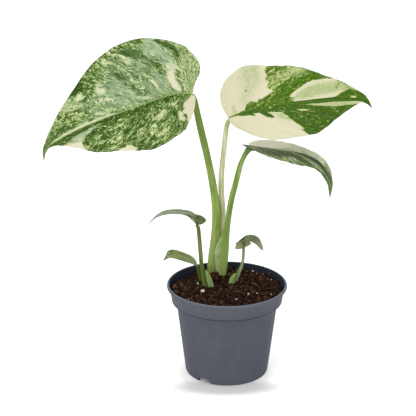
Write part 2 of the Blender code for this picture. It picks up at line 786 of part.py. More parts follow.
def main():
    clear_scene()
    plant = new_collection("potted_monstera")
    cutters = new_collection("cutters")
    add_root(plant)
    finishes = {
        "pot_plastic": material("pot_plastic", (0.110, 0.120, 0.150), 0.45),
        "compost": material("compost", (0.022, 0.012, 0.008), 0.95),
        "leaf_mottled": material("leaf_mottled", (0.140, 0.290, 0.060), 0.45),
        "leaf_cream": material("leaf_cream", (0.640, 0.610, 0.380), 0.45),
        "leaf_green": material("leaf_green", (0.170, 0.230, 0.110), 0.45),
        "petiole_green": material("petiole_green", (0.220, 0.340, 0.070), 0.5),
        "petiole_cream": material("petiole_cream", (0.600, 0.620, 0.350), 0.5),
        "sheath": material("sheath", (0.300, 0.430, 0.140), 0.55),
        "bark": material("bark", (0.100, 0.030, 0.015), 0.9),
        "perlite": material("perlite", (0.720, 0.700, 0.660), 0.9),
    }
    add_pot(finishes["pot_plastic"], plant, cutters)
    add_soil(finishes["compost"], plant, cutters)
    add_blade("left_large_leaf", LEFT_LARGE, finishes["leaf_mottled"], plant)
    add_blade("cream_leaf", CREAM, finishes["leaf_cream"], plant)
    add_blade("drooping_leaf", DROOPING, finishes["leaf_green"], plant)
    add_blade("left_upper_leaf", LEFT_UPPER, finishes["leaf_green"], plant)
    add_blade("left_lower_leaf", LEFT_LOWER, finishes["leaf_green"], plant)
    add_blade("right_small_leaf", RIGHT_SMALL, finishes["leaf_green"], plant)
    for name, stem, points, radii, finish in STALKS:
        add_stalk(name, [*sunk(stem), *points], radii, finishes[finish], plant)
    add_object(
        "drooping_petiole",
        mesh_of("drooping_petiole", lofted(DROOPING_SECTIONS)),
        finishes["petiole_green"],
        plant,
    )
    for name, sections in (("left_sheath", LEFT_SHEATH), ("right_sheath", RIGHT_SHEATH)):
        add_object(name, mesh_of(name, lofted(sections, 12)), finishes["sheath"], plant)
    add_object("bark_chip", mesh_of("bark_chip", chip_shape(), smooth=False), finishes["bark"], plant)
    for seed, (x, y, radius) in enumerate(PERLITE):
        name = f"perlite_grain_{seed + 1}"
        shape = grain_shape(x, y, radius, seed)
        add_object(name, mesh_of(name, shape, smooth=False), finishes["perlite"], plant)


if __name__ == "__main__":
    main()
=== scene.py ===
"""Looks of a young variegated monstera in a slate-grey nursery pot, built around its packed solids.

Tables hold millimetres counted from the foot of the pot's axis: +Z up, front along -Y. Leaf tables are flat
outlines: x runs along the midrib from the petiole to the tip, y is the distance from the midrib.
"""

import json
import math
from bisect import bisect
from dataclasses import dataclass
from itertools import accumulate

import bmesh
import bpy
import numpy as np
from bpy.props import FloatProperty, FloatVectorProperty, IntProperty, PointerProperty
from mathutils import Matrix, Vector, noise

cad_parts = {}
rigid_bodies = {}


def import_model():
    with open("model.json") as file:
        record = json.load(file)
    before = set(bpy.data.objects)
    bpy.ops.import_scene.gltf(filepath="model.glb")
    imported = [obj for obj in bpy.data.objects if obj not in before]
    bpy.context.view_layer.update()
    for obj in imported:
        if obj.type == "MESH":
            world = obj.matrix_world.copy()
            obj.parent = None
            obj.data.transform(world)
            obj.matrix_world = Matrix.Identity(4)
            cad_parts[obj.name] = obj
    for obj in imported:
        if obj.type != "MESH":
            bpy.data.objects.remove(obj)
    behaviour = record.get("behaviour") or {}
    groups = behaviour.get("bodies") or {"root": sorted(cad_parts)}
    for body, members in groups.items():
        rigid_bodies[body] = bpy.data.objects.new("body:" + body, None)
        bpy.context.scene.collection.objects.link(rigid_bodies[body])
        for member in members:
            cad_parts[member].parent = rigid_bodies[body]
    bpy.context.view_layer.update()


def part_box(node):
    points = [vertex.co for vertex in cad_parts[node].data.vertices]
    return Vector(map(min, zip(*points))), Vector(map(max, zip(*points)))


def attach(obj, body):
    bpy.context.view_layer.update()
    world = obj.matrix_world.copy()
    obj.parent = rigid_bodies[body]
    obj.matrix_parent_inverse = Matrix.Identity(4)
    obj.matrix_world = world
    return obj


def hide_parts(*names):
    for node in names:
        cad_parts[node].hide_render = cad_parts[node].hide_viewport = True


bl_info = {
    "name": "Potted Monstera",
    "version": (1, 0, 0),
    "blender": (4, 5, 0),
    "location": "View3D > Sidebar > Monstera",
    "description": "Dresses a young variegated monstera and its nursery pot",
    "category": "Add Mesh",
}

for startup_item in list(bpy.data.objects):
    bpy.data.objects.remove(startup_item, do_unlink=True)
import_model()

MM = 0.001
POT_LOW, POT_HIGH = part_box("pot")
AXIS = Vector(((POT_LOW.x + POT_HIGH.x) / 2, (POT_LOW.y + POT_HIGH.y) / 2, POT_LOW.z))
POT_HEIGHT = (POT_HIGH.z - POT_LOW.z) / MM
LIP_RADIUS = (POT_HIGH.x - POT_LOW.x) / (2 * MM)


def linear(code):
    """Linear RGB of an sRGB hex colour."""
    parts = [int(code[i : i + 2], 16) / 255 for i in (1, 3, 5)]
    return tuple(part / 12.92 if part <= 0.04045 else ((part + 0.055) / 1.055) ** 2.4 for part in parts)


# --- Pot -------------------------------------------------------------------------------------------------

COLLAR_RADIUS = LIP_RADIUS - 3.0
COLLAR_FOOT_RADIUS = 55.3
COLLAR_DEPTH = 17.5
BODY_TOP_RADIUS = 50.0
BODY_TOP_Z = 70.0
FOOT_RADIUS = 41.6
FOOT_INNER_RADIUS = 38.6
FOOT_HEIGHT = 4.5
POT_WALL = 1.2
POT_FLOOR = FOOT_HEIGHT + POT_WALL + 0.2
NOTCH_WIDTH = 14.5
NOTCH_HEIGHT = 4.5
NOTCH_CORNER = 3.0
NOTCH_REACH = 10.0
NOTCH_ANGLES = (-122.7, 57.3)
DRAIN_HOLE_RADIUS = 4.0
DRAIN_RING_RADIUS = 25.0
DRAIN_HOLE_COUNT = 6

# Brings a place on the pot's wall, some 50 mm from the axis, to a length near 1.
WALL_SCALE = 20.0

# --- Compost ---------------------------------------------------------------------------------------------

SOIL_LEVEL = 85.8
SOIL_RADIUS = 54.9
# Waves a millimetre and height of the lumps, as in the solid, then the finer crumble on top of them.
SOIL_LUMPS = ((0.13, 0.9), (0.31, 0.7))
SOIL_CRUMBLE = ((0.30, 1.5), (0.7, 0.9), (1.6, 0.4))
# x, y, height and spread of each heap or hollow.
SOIL_HEAPS = (
    (-3.0, 42.0, 4.2, 16.0),
    (-1.0, 27.5, -2.6, 6.5),
    (-20.0, 2.0, 1.4, 11.0),
    (8.0, 12.0, 1.4, 11.0),
    (-42.0, 33.0, -2.8, 9.0),
    (-53.0, 4.0, 3.8, 11.0),
    (30.0, -30.0, 0.6, 18.0),
    (41.0, 26.0, 2.6, 13.0),
)
# x, y and radius of the larger perlite grains.
PERLITE = (
    (-24.1, -10.0, 2.0),
    (-29.1, 10.6, 1.0),
    (-29.3, -2.0, 0.8),
    (21.0, -15.7, 1.0),
    (8.9, -27.0, 0.8),
    (17.2, -37.5, 0.7),
    (29.7, -14.6, 1.1),
    (43.8, -14.9, 0.7),
    (14.0, 47.5, 1.2),
    (27.3, 43.4, 1.2),
    (45.1, 19.3, 0.6),
    (-38.0, -26.0, 0.7),
)
CHIP_PLACE = (-11.8, 21.0)
CHIP_SIZE = (7.0, 5.0, 8.6)
CHIP_FACES = (0.25, 1.0, -0.45)
CHIP_LIFT = 4.2

# Stage, in metres. How much the floor is lifted, for the eye alone, to plain white; then where that fades:
# how far in front of the pot's axis a fade's middle lies, half its width and depth, the share of them at
# which it starts, and what it leaves of the lift. All fades lie a little to the left.
FLOOR_LIFT = 0.46
FLOOR_FADES = ((0.014, 0.051, 0.050, 0.78, 0.60), (0.044, 0.067, 0.0245, 0.42, 0.0))
FADE_SHIFT = 0.002
# What the lamps aim at.
PLANT_MIDDLE = (0.0, 0.0, 0.17)

# --- Shoots ----------------------------------------------------------------------------------------------

STALK_BOTTOM = 80.0
# Stalks: name, points from the compost up, radii spread evenly along them, and the finish.
STALKS = (
    (
        "left_large_petiole",
        [
            (-14.6, 40.8, STALK_BOTTOM), (-14.6, 40.8, 86.3), (-14.6, 40.8, 93.3), (-13.5, 40.8, 105.5),
            (-12.1, 40.3, 117.7), (-10.8, 39.2, 134.0), (-10.5, 37.4, 150.0), (-11.8, 34.5, 169.0),
            (-15.3, 31.0, 193.4), (-20.3, 27.0, 219.7), (-25.9, 23.0, 245.5), (-29.2, 20.8, 262.0),
            (-31.6, 19.6, 274.8), (-33.3, 19.2, 279.8), (-35.4, 19.1, 282.3),
        ],
        [5.3, 5.3, 5.1, 4.6, 4.1, 3.8, 3.55, 3.5, 3.5, 3.3, 2.4],
        "green",
    ),
    (
        "cream_petiole",
        [
            (-5.0, 43.6, STALK_BOTTOM), (-5.0, 43.6, 88.0), (-4.9, 43.6, 96.0), (-4.5, 43.6, 112.5),
            (-3.9, 43.2, 130.0), (-3.8, 42.2, 142.5), (-4.2, 40.8, 156.0), (-5.6, 37.8, 176.0),
            (-5.7, 35.4, 191.0), (-4.8, 33.0, 206.5), (-2.6, 29.2, 229.5), (-1.3, 27.2, 244.5),
            (0.3, 26.2, 251.5), (2.7, 25.7, 255.9),
        ],
        [2.9, 2.9, 2.9, 2.9, 2.9, 2.6, 2.5, 2.2],
        "cream",
    ),
    (
        "left_upper_petiole",
        [
            (-21.9, 3.0, STALK_BOTTOM), (-21.9, 3.0, 88.3), (-23.0, 3.0, 95.0), (-24.8, 3.0, 106.5),
            (-25.7, 3.0, 114.5), (-26.3, 3.0, 123.2), (-27.7, 3.0, 140.6), (-28.7, 3.0, 151.0),
            (-30.9, 2.9, 154.6),
        ],
        [2.5, 2.5, 2.3, 2.0, 2.0, 1.9, 1.7],
        "young",
    ),
    (
        "left_lower_petiole",
        [
            (-27.1, 20.0, STALK_BOTTOM), (-27.1, 20.0, 89.3), (-27.9, 20.0, 93.6), (-29.1, 20.0, 100.2),
            (-30.2, 20.0, 103.9), (-32.2, 20.0, 106.3),
        ],
        [1.5, 1.5, 1.4, 1.2],
        "young",
    ),
    (
        "right_small_petiole",
        [
            (8.2, 12.2, STALK_BOTTOM), (8.2, 12.2, 87.7), (9.4, 12.0, 92.8), (11.9, 11.6, 99.8),
            (14.7, 10.6, 107.8), (16.0, 9.6, 113.6), (16.4, 9.0, 120.7), (16.6, 9.0, 132.8),
            (17.6, 9.0, 136.4),
        ],
        [2.0, 2.0, 1.9, 1.4, 1.4, 1.3],
        "small",
    ),
)
# Level sections of the petiole that widens into a sheath, and of the short sheaths: x, y, z and two radii.
DROOPING_SECTIONS = (
    (-4.8, 34.3, STALK_BOTTOM, 4.0, 3.0), (-4.9, 34.1, 86.0, 4.1, 3.1), (-5.3, 33.8, 94.0, 5.5, 3.1),
    (-5.2, 33.5, 102.0, 6.5, 3.1), (-5.0, 33.2, 114.0, 7.0, 3.1), (-3.9, 32.7, 122.0, 6.3, 3.1),
    (-2.3, 32.1, 129.0, 4.9, 3.0), (-0.7, 31.2, 135.5, 3.7, 3.0), (0.8, 29.2, 146.0, 3.0, 3.0),
    (2.4, 26.6, 160.0, 3.0, 3.0), (4.8, 23.6, 175.0, 3.0, 3.0), (9.3, 19.2, 195.5, 2.9, 2.9),
    (12.6, 16.0, 211.0, 2.7, 2.7), (15.6, 14.0, 219.5, 2.5, 2.5), (17.6, 12.8, 223.8, 2.8, 2.3),
    (19.8, 11.8, 227.2, 3.5, 2.3), (22.2, 11.0, 229.9, 4.8, 2.2), (24.4, 10.4, 231.8, 5.9, 1.9),
)
LEFT_SHEATH = (
    (-16.0, 2.0, 82.0, 2.9, 1.9), (-16.0, 2.0, 87.5, 2.9, 1.9), (-17.8, 2.0, 95.0, 2.7, 1.8),
    (-19.1, 2.0, 100.0, 2.3, 1.5), (-20.4, 2.0, 104.5, 1.3, 1.0), (-21.1, 2.0, 106.6, 0.4, 0.4),
)
RIGHT_SHEATH = (
    (4.6, 9.4, 82.0, 2.0, 1.4), (4.6, 9.4, 87.0, 2.4, 1.5), (5.2, 9.4, 92.0, 2.7, 1.5),
    (6.6, 9.4, 96.4, 2.2, 1.3), (8.4, 9.4, 99.6, 0.7, 0.6),
)

# Where round a sheathing petiole its papery margin runs, as a share of a turn from the right.
MARGIN_TURN = 0.59

# --- Leaves ----------------------------------------------------------------------------------------------

# Half width of the round crease along a midrib, and the share of a blade's length that folds as its base.
CREASE = 3.0
BASE_REACH = 0.25
# Side veins: the share of the margin whose veins all leave the midrib's foot, how the others crowd towards
# that foot, and where along and across its span each one bends.
FAN_SHARE = 0.3
VEIN_SPREAD = 1.8
VEIN_TURN = (0.35, 0.6)
# Between its veins a blade swells most near the midrib, and its margin waves by this many millimetres.
SWELL_FADE = 0.75
MARGIN_WAVE = 0.9
# Half width from which a blade shows all of its swell and waves, in millimetres.
FULL_REACH = 60.0
# The second half of a blade lies this far from the first on the map that its flecks follow.
HALVES_APART = 400.0


def heart(length, width, lobe, tip=1.0):
    """Half the outline of a small heart-shaped blade: its lobe reaches back behind the petiole."""
    return [
        (0.0, 0.0), (-0.6 * lobe, 0.2 * width), (-lobe, 0.5 * width), (-0.6 * lobe, 0.8 * width),
        (0.12 * length, 0.97 * width), (0.32 * length, width), (0.55 * length, 0.84 * width),
        (0.75 * length, 0.5 * width * tip), (0.9 * length, 0.16 * width * tip), (length, 0.0),
    ]


# Markings pull the levels of a coat inside an outline, later ones over earlier ones: cream from 0, all
# green, to 1, all cream; deep from mid green to dark green; the third level is the silvery bloom together
# with a painted sheen of reflected light. The number between the levels and the outline is half the width
# of its soft edge.
LEFT_LARGE_MARKS = (
    # Near half.
    (dict(cream=0.33, deep=0.30, haze=0.0), 3.0, [(-20, 0), (-20, 80), (190, 80), (190, 0)]),
    (dict(cream=0.16, deep=0.75), 2.5, [
        (16, 0.5), (24, 8), (40, 7), (52, 13), (70, 9), (84, 12), (100, 7), (98, 0.5)]),
    (dict(cream=0.20, deep=0.60), 2.0, [(24, 22), (27, 30), (31, 40), (29, 44), (23, 38), (21, 28)]),
    (dict(cream=0.22, deep=0.55), 2.0, [(12, 46), (18, 55), (30, 57), (33, 50), (22, 46)]),
    (dict(cream=0.22, deep=0.50), 2.0, [(52, 17), (58, 26), (66, 28), (70, 20), (60, 14)]),
    (dict(cream=0.18, deep=0.65), 2.0, [
        (96, 12), (104, 18), (112, 25), (119, 25), (118, 19), (110, 14), (104, 10)]),
    (dict(cream=0.24, deep=0.50), 2.0, [(68, 26), (70, 34), (76, 36), (79, 27)]),
    (dict(cream=0.22, deep=0.35), 2.0, [(58, 60), (62, 66), (70, 62), (66, 55)]),
    (dict(cream=0.74), 1.8, [(35, 47), (40, 54), (49, 55), (52, 50), (44, 47)]),
    (dict(cream=0.66), 1.4, [(36, 38), (38, 47), (41, 47), (40, 38)]),
    (dict(cream=0.60), 2.0, [(46, 35), (48, 50), (54, 50), (52, 35)]),
    (dict(cream=0.62), 1.8, [(57, 34), (59, 41), (66, 41), (64, 34)]),
    (dict(cream=0.70), 1.6, [(15, 9.5), (17, 15), (23, 19), (24, 13)]),
    (dict(cream=0.90, haze=0.15), 1.8, [
        (31, 20), (35, 27), (41, 31), (47, 28), (46, 24), (39, 22), (35, 18)]),
    (dict(cream=0.62), 1.6, [(71, 10), (76, 21), (81, 20), (77, 9)]),
    (dict(cream=0.60), 1.8, [(76, 30), (80, 38), (92, 38), (93, 33), (84, 30)]),
    (dict(cream=0.60), 1.8, [(85, 43), (88, 48), (99, 48), (97, 43)]),
    (dict(cream=0.60), 1.8, [(97, 20), (101, 26), (108, 26), (105, 20)]),
    (dict(cream=1.5), 1.6, [
        (-4, 2), (1.5, 3), (3, 6), (6, 11), (9.5, 15.5), (10.5, 19), (10.2, 25), (14, 29), (12, 32),
        (9, 33.5), (8.3, 38), (9, 43), (6, 50), (0, 44), (-6, 20)]),
    (dict(cream=1.1), 1.6, [
        (12, 40), (14, 44), (20.5, 42.5), (21.5, 37), (20, 31), (15.5, 28), (12.5, 32), (15, 36)]),
    (dict(cream=0.15, deep=0.4), 1.0, [(9.6, 33.5), (9.3, 39), (12, 39), (13.8, 35.5), (12, 33)]),
    (dict(cream=1.4), 1.6, [
        (70.5, 68), (71, 60), (73, 55), (76, 51), (79, 51.5), (80, 53), (84, 52), (89, 54), (84, 62)]),
    (dict(cream=0.74, haze=0.75), 1.6, [
        (93, 5.5), (104, 9), (110, 12), (119, 20), (130, 15), (134, 10.5), (128, 8.5), (112, 7), (100, 5)]),
    (dict(cream=1.4, haze=0.0), 1.6, [
        (119, 21), (118, 32), (124, 32), (142, 12), (137, 11), (128, 15), (121, 18)]),
    (dict(cream=0.14, deep=0.75, haze=0.0), 1.6, [
        (96, 0.6), (100, 4), (112, 6.5), (126, 8), (131, 11), (138, 11), (147, 5), (154, 0.6)]),
    # Far half.
    (dict(cream=0.44, deep=0.20, haze=0.36), 2.0, [(-20, -0.6), (-20, -80), (190, -80), (190, -0.6)]),
    (dict(cream=0.58, deep=0.0, haze=0.1), 3.0, [(-20, 0), (11, 0), (11.5, -30), (10, -50), (-20, -60)]),
    (dict(cream=0.43, haze=0.72), 4.0, [(19, -3), (38, -4), (35, -14), (31, -28), (22, -30), (20, -14)]),
    (dict(cream=0.42, haze=0.60), 3.0, [(36, -30), (33, -26), (33, -34), (38, -48), (45, -52), (41, -38)]),
    (dict(cream=0.45, haze=0.66), 5.0, [
        (48, -8), (60, -4), (88, -12), (96, -24), (86, -36), (66, -32), (54, -24)]),
    (dict(cream=0.62, haze=0.85), 2.5, [(59, -5), (67, -5), (79, -13), (82, -20), (74, -19), (63, -12)]),
    (dict(cream=0.20, deep=0.75, haze=0.05), 2.5, [
        (20, -24), (23, -34), (28, -41), (32, -41), (27, -30), (24, -22)]),
    (dict(cream=0.22, deep=0.60, haze=0.10), 3.0, [
        (31, -38), (33, -50), (40, -59), (60, -59), (64, -54), (48, -52), (38, -44)]),
    (dict(cream=0.20, deep=0.80, haze=0.10), 2.0, [(53, -29), (58, -38), (67, -41), (64, -33)]),
    (dict(cream=0.22, deep=0.50, haze=0.15), 2.0, [(44, -10), (50, -21), (60, -28), (60, -24), (50, -14)]),
    (dict(cream=0.38, deep=0.35, haze=0.0), 3.0, [
        (27, -59), (34, -74), (75, -66), (114, -42), (100, -34), (84, -44), (62, -57), (44, -60)]),
    (dict(cream=0.36, deep=0.40, haze=0.05), 3.0, [
        (86, -34), (92, -24), (100, -23), (100, -36), (88, -48), (78, -46)]),
    (dict(cream=0.43, deep=0.10, haze=0.0), 3.0, [
        (98, -5), (112, -22), (128, -24), (150, -8), (140, -4), (112, -4)]),
    (dict(cream=0.26, deep=0.50, haze=0.0), 2.0, [(118, -4), (133, -11), (146, -7), (160, -1), (130, -3)]),
    (dict(cream=0.68, haze=0.85), 2.0, [
        (13, -28), (18, -29), (24, -41), (31, -45), (31.5, -51), (28.5, -58), (28, -66), (22, -64),
        (19, -52), (14, -40)]),
    (dict(cream=0.95, haze=0.4), 1.5, [(14, -22), (18.5, -22), (19, -30), (17, -36), (13.5, -32)]),
    (dict(cream=1.5, haze=0.0), 1.4, [
        (10.5, -3.5), (13.8, -3), (17.4, -7), (19.6, -12), (20, -18), (18.8, -24), (16, -24), (14.8, -17),
        (13.4, -10)]),
    (dict(cream=0.16, deep=0.6, haze=0.0), 1.2, [
        (10, -35), (12.5, -37), (15, -45), (19, -52), (23, -58), (21, -60), (14, -51), (11, -44)]),
    (dict(cream=0.02, deep=1.0, haze=0.0), 1.4, [
        (96, -40), (99, -33.5), (105, -32), (111, -34), (106, -42), (100, -46)]),
    (dict(cream=1.1, haze=0.0), 1.4, [(99, -27), (106, -26.5), (110, -30.5), (103, -31.5)]),
    (dict(cream=0.70, haze=0.35), 1.8, [(99, -19), (112, -20), (125, -25), (120, -29), (108, -25)]),
    (dict(cream=1.1, haze=0.1), 1.4, [(80, -25), (84, -24), (89, -30), (85, -32), (80, -29)]),
    (dict(cream=0.72, haze=0.3), 1.6, [(73, -12), (84, -14), (94, -19), (89, -21), (76, -17)]),
    (dict(cream=0.84, haze=0.2), 1.4, [(76, -3.6), (90, -4), (97, -7.5), (91, -9), (80, -7)]),
    (dict(cream=1.2, haze=0.05), 0.9, [
        (74, -0.3), (84, -2.2), (110, -2.8), (128, -2.2), (146, -0.8), (140, 0.3), (110, 0.2)]),
    (dict(cream=1.0), 0.8, [(39, -2.5), (46, -4.5), (53, -9), (51, -10), (44, -7)]),
    (dict(cream=1.1, haze=0.0), 0.9, [(29.5, -10.5), (32, -11.5), (34.5, -19), (33, -21), (30.5, -16)]),
    (dict(cream=0.9), 0.8, [(52, -13.5), (58, -15.5), (64, -20), (61, -20.5), (55, -17)]),
    (dict(cream=0.9), 0.8, [(48, -51), (56, -53.5), (63, -58), (60, -59), (52, -55)]),
    (dict(cream=0.9), 0.9, [(45, -43), (51, -48), (54, -52), (50, -52), (45, -47)]),
    (dict(cream=0.85), 1.0, [(67, -52), (72, -49), (75, -54), (70, -58)]),
)
CREAM_MARKS = (
    (dict(cream=1.8, deep=0.3), 1.0, [(-20, 0), (-20, 80), (190, 80), (190, -80), (-20, -80)]),
    (dict(haze=0.62, cream=1.05), 6.0, [
        (14, 14), (18, 30), (17, 45), (20, 60), (30, 60), (35, 46), (36, 34), (28, 22), (24, 9), (17, 8)]),
    (dict(haze=0.9), 2.0, [(27, 62), (27, 40), (30, 34), (32, 44), (31, 62)]),
    (dict(haze=0.85), 2.0, [(20, 62), (21, 50), (24, 40), (24, 62)]),
    (dict(haze=0.75, cream=0.95), 1.6, [(5, 1.5), (6, 12), (9, 14), (10, 2)]),
    (dict(cream=0.50, haze=0.0, deep=0.0), 2.2, [
        (36, 60), (39.5, 55), (37, 49), (40, 43), (37.5, 37), (41, 32), (39, 26), (43, 21), (54, 26),
        (60, 34), (63, 46), (58, 60)]),
    (dict(cream=0.36, deep=0.0), 2.0, [(39, 53), (40, 41), (46, 40), (50, 46), (60, 48), (58, 54)]),
    (dict(cream=0.62, deep=0.1, haze=0.3), 2.0, [
        (59, 33), (61, 56), (84, 50), (90, 44), (78, 40), (68, 35)]),
    (dict(cream=0.25, deep=0.12), 1.0, [
        (-2, 1.2), (10, 1.6), (17, 3), (20, 9), (23, 11.5), (27, 10.5), (30, 9), (32, 13.5), (35, 12),
        (41, 16), (47, 20), (53, 26), (60, 31), (68, 37), (78, 42), (90, 52), (112, 34), (104, 29),
        (95, 29.5), (84, 28.5), (80, 26), (73, 20), (66, 14), (63, 9.5), (65, 8), (69, 10), (70.5, 7),
        (68, 4), (66, 2), (66, -1), (-2, -1)]),
    (dict(cream=0.36, deep=0.05), 2.0, [
        (43, 19), (52, 20), (64, 30), (80, 38), (80, 42), (66, 37), (54, 29)]),
    (dict(cream=0.06, deep=0.80), 1.0, [
        (58, -5), (60, 2), (80, 3), (98, 4), (110, 5.5), (125, 4), (140, 2), (160, 0), (140, -2), (120, -3),
        (95, -3.5), (80, -5.5)]),
    (dict(cream=1.1, haze=0.1), 1.6, [(72, 17), (81, 26), (88, 28), (106, 28), (104, 20), (90, 20)]),
    (dict(cream=0.78, haze=1.0), 3.0, [
        (65, 4), (69, 12), (79, 20), (90, 23), (106, 25), (116, 18), (112, 12), (96, 8), (80, 5)]),
    (dict(cream=0.58, haze=0.5), 3.0, [(104, 16), (106, 30), (122, 24), (130, 14), (118, 11)]),
    (dict(cream=0.20, deep=0.5, haze=0.0), 1.8, [
        (106, 4), (111, 10), (119, 14), (128, 12.5), (139, 6), (142, 1), (120, 2)]),
    (dict(cream=0.9), 0.8, [(121, 2.5), (122, 5), (126, 5), (126, 2.5)]),
    (dict(cream=0.0, deep=0.6, haze=0.0), 0.5, [(20.2, 25.4), (20.7, 27.6), (22.2, 27.3), (21.9, 25.4)]),
    (dict(cream=0.19, deep=0.45), 1.0, [
        (-2, 0.6), (9, -1.8), (15, -5.5), (21, -8), (29, -11.5), (30, -10), (27, -7), (33, -8.5), (39, -16),
        (46, -20), (49, -18.5), (46, -14), (42, -9.5), (48, -11), (55, -13), (60, -21), (66, -28),
        (71, -34), (73, -42), (78, -47), (83, -54), (92, -62), (114, -50), (132, -26), (140, -8), (146, 0),
        (130, -6), (115, -6), (100, -5), (85, -3), (60, 1)]),
    (dict(cream=0.21, deep=0.70), 4.0, [(76, -14), (118, -12), (110, -40), (88, -56), (76, -36)]),
    (dict(cream=0.80, haze=0.6), 1.6, [(44, -10.5), (56, -14), (66, -29), (60, -26), (52, -20), (48, -15)]),
    (dict(cream=0.85, haze=0.8), 1.3, [
        (78, -3.8), (90, -7), (106, -9), (124, -8), (134, -3.4), (120, -2.8), (100, -3.2)]),
    (dict(cream=1.0), 0.9, [(69, -10.5), (79, -11), (83, -13.5), (74, -13.5)]),
    (dict(cream=1.0), 0.9, [(70.5, -32), (75, -37), (77.5, -42), (74.5, -42), (70, -36)]),
)
DROOPING_MARKS = (
    (dict(cream=0.20, deep=0.62, haze=0.15), 2.0, [(-20, 0), (140, 0), (140, -60), (-20, -60)]),
    (dict(cream=0.36, deep=0.1, haze=0.35), 3.0, [
        (14, -16), (30, -18), (46, -17), (60, -12), (70, -8), (64, -30), (10, -30)]),
    (dict(cream=1.05, haze=0.62), 2.0, [(-20, 0), (140, 0), (140, 60), (-20, 60)]),
    (dict(cream=1.6, haze=0.0), 2.0, [(-20, 0.3), (14, 0.3), (26, 5), (40, 11), (32, 30), (-20, 50)]),
    (dict(cream=0.85, haze=0.80), 3.0, [(18, 0.6), (28, 4), (44, 9), (50, 16), (72, 14), (70, 8), (44, 4)]),
    (dict(cream=0.9, haze=0.5), 3.0, [(56, 12), (60, 30), (78, 30), (80, 12)]),
    (dict(cream=0.55, haze=0.45), 3.0, [(72, 9), (74, 30), (84, 30), (92, 12), (84, 8)]),
    (dict(cream=0.06, deep=0.95, haze=0.05), 2.0, [
        (18, 0.2), (34, 1.4), (46, 4), (56, 7.5), (82, 9.5), (98, 9), (115, 0.2)]),
    (dict(cream=0.26, deep=0.0, haze=0.0), 3.0, [(80, 11), (84, -8), (115, -8), (115, 10)]),
    (dict(cream=0.40, haze=0.1), 1.6, [(-2, -2), (4, -2), (10, -6), (12, -15), (6, -16), (0, -10)]),
    (dict(cream=0.47, haze=0.2), 1.4, [
        (34, -15), (40, -12), (46, -10), (52, -13), (58, -12), (56, -20), (50, -24), (36, -24)]),
    (dict(cream=0.60, haze=0.35), 1.6, [(50, -2.5), (66, -1.5), (78, -2), (78, -5), (64, -6)]),
)
LEFT_UPPER_MARKS = (
    (dict(cream=0.30, deep=0.35, haze=0.55), 2.0, [(-20, -30), (-20, 30), (80, 30), (80, -30)]),
    (dict(cream=0.20, deep=0.95, haze=0.12), 2.5, [(-20, -30), (-20, 30), (9, 30), (11, 0), (8, -30)]),
    (dict(cream=0.75, haze=0.6), 3.0, [(9, 2), (9, 14), (20, 14), (17, 2)]),
    (dict(cream=0.36, deep=0.2, haze=0.12), 3.0, [(20, 4), (22, 24), (46, 20), (50, 6)]),
    (dict(cream=0.12, deep=0.6, haze=0.1), 4.0, [(46, -12), (46, 12), (70, 12), (70, -12)]),
)
LEFT_LOWER_MARKS = (
    (dict(cream=0.30, deep=0.25, haze=0.35), 2.0, [(-20, -30), (-20, 30), (80, 30), (80, -30)]),
    (dict(cream=0.34, deep=0.0, haze=0.0), 4.0, [(18, -14), (18, 14), (34, 14), (34, -14)]),
    (dict(cream=0.55, haze=0.3), 1.6, [(0, -8), (1, -2), (5, -2), (7, -8)]),
    (dict(cream=0.05, deep=0.9, haze=0.1), 2.5, [(33, -8), (33, 8), (60, 8), (60, -8)]),
)
RIGHT_SMALL_MARKS = (
    (dict(cream=0.24, deep=0.55, haze=0.45), 2.0, [(-20, -30), (-20, 30), (80, 30), (80, -30)]),
    (dict(cream=0.10, deep=1.0, haze=0.0), 2.0, [(-3, -5), (-3, 5), (3, 5), (3, -5)]),
    (dict(cream=0.40, deep=0.3, haze=0.3), 3.0, [(16, -14), (18, 4), (34, 4), (34, -14)]),
)


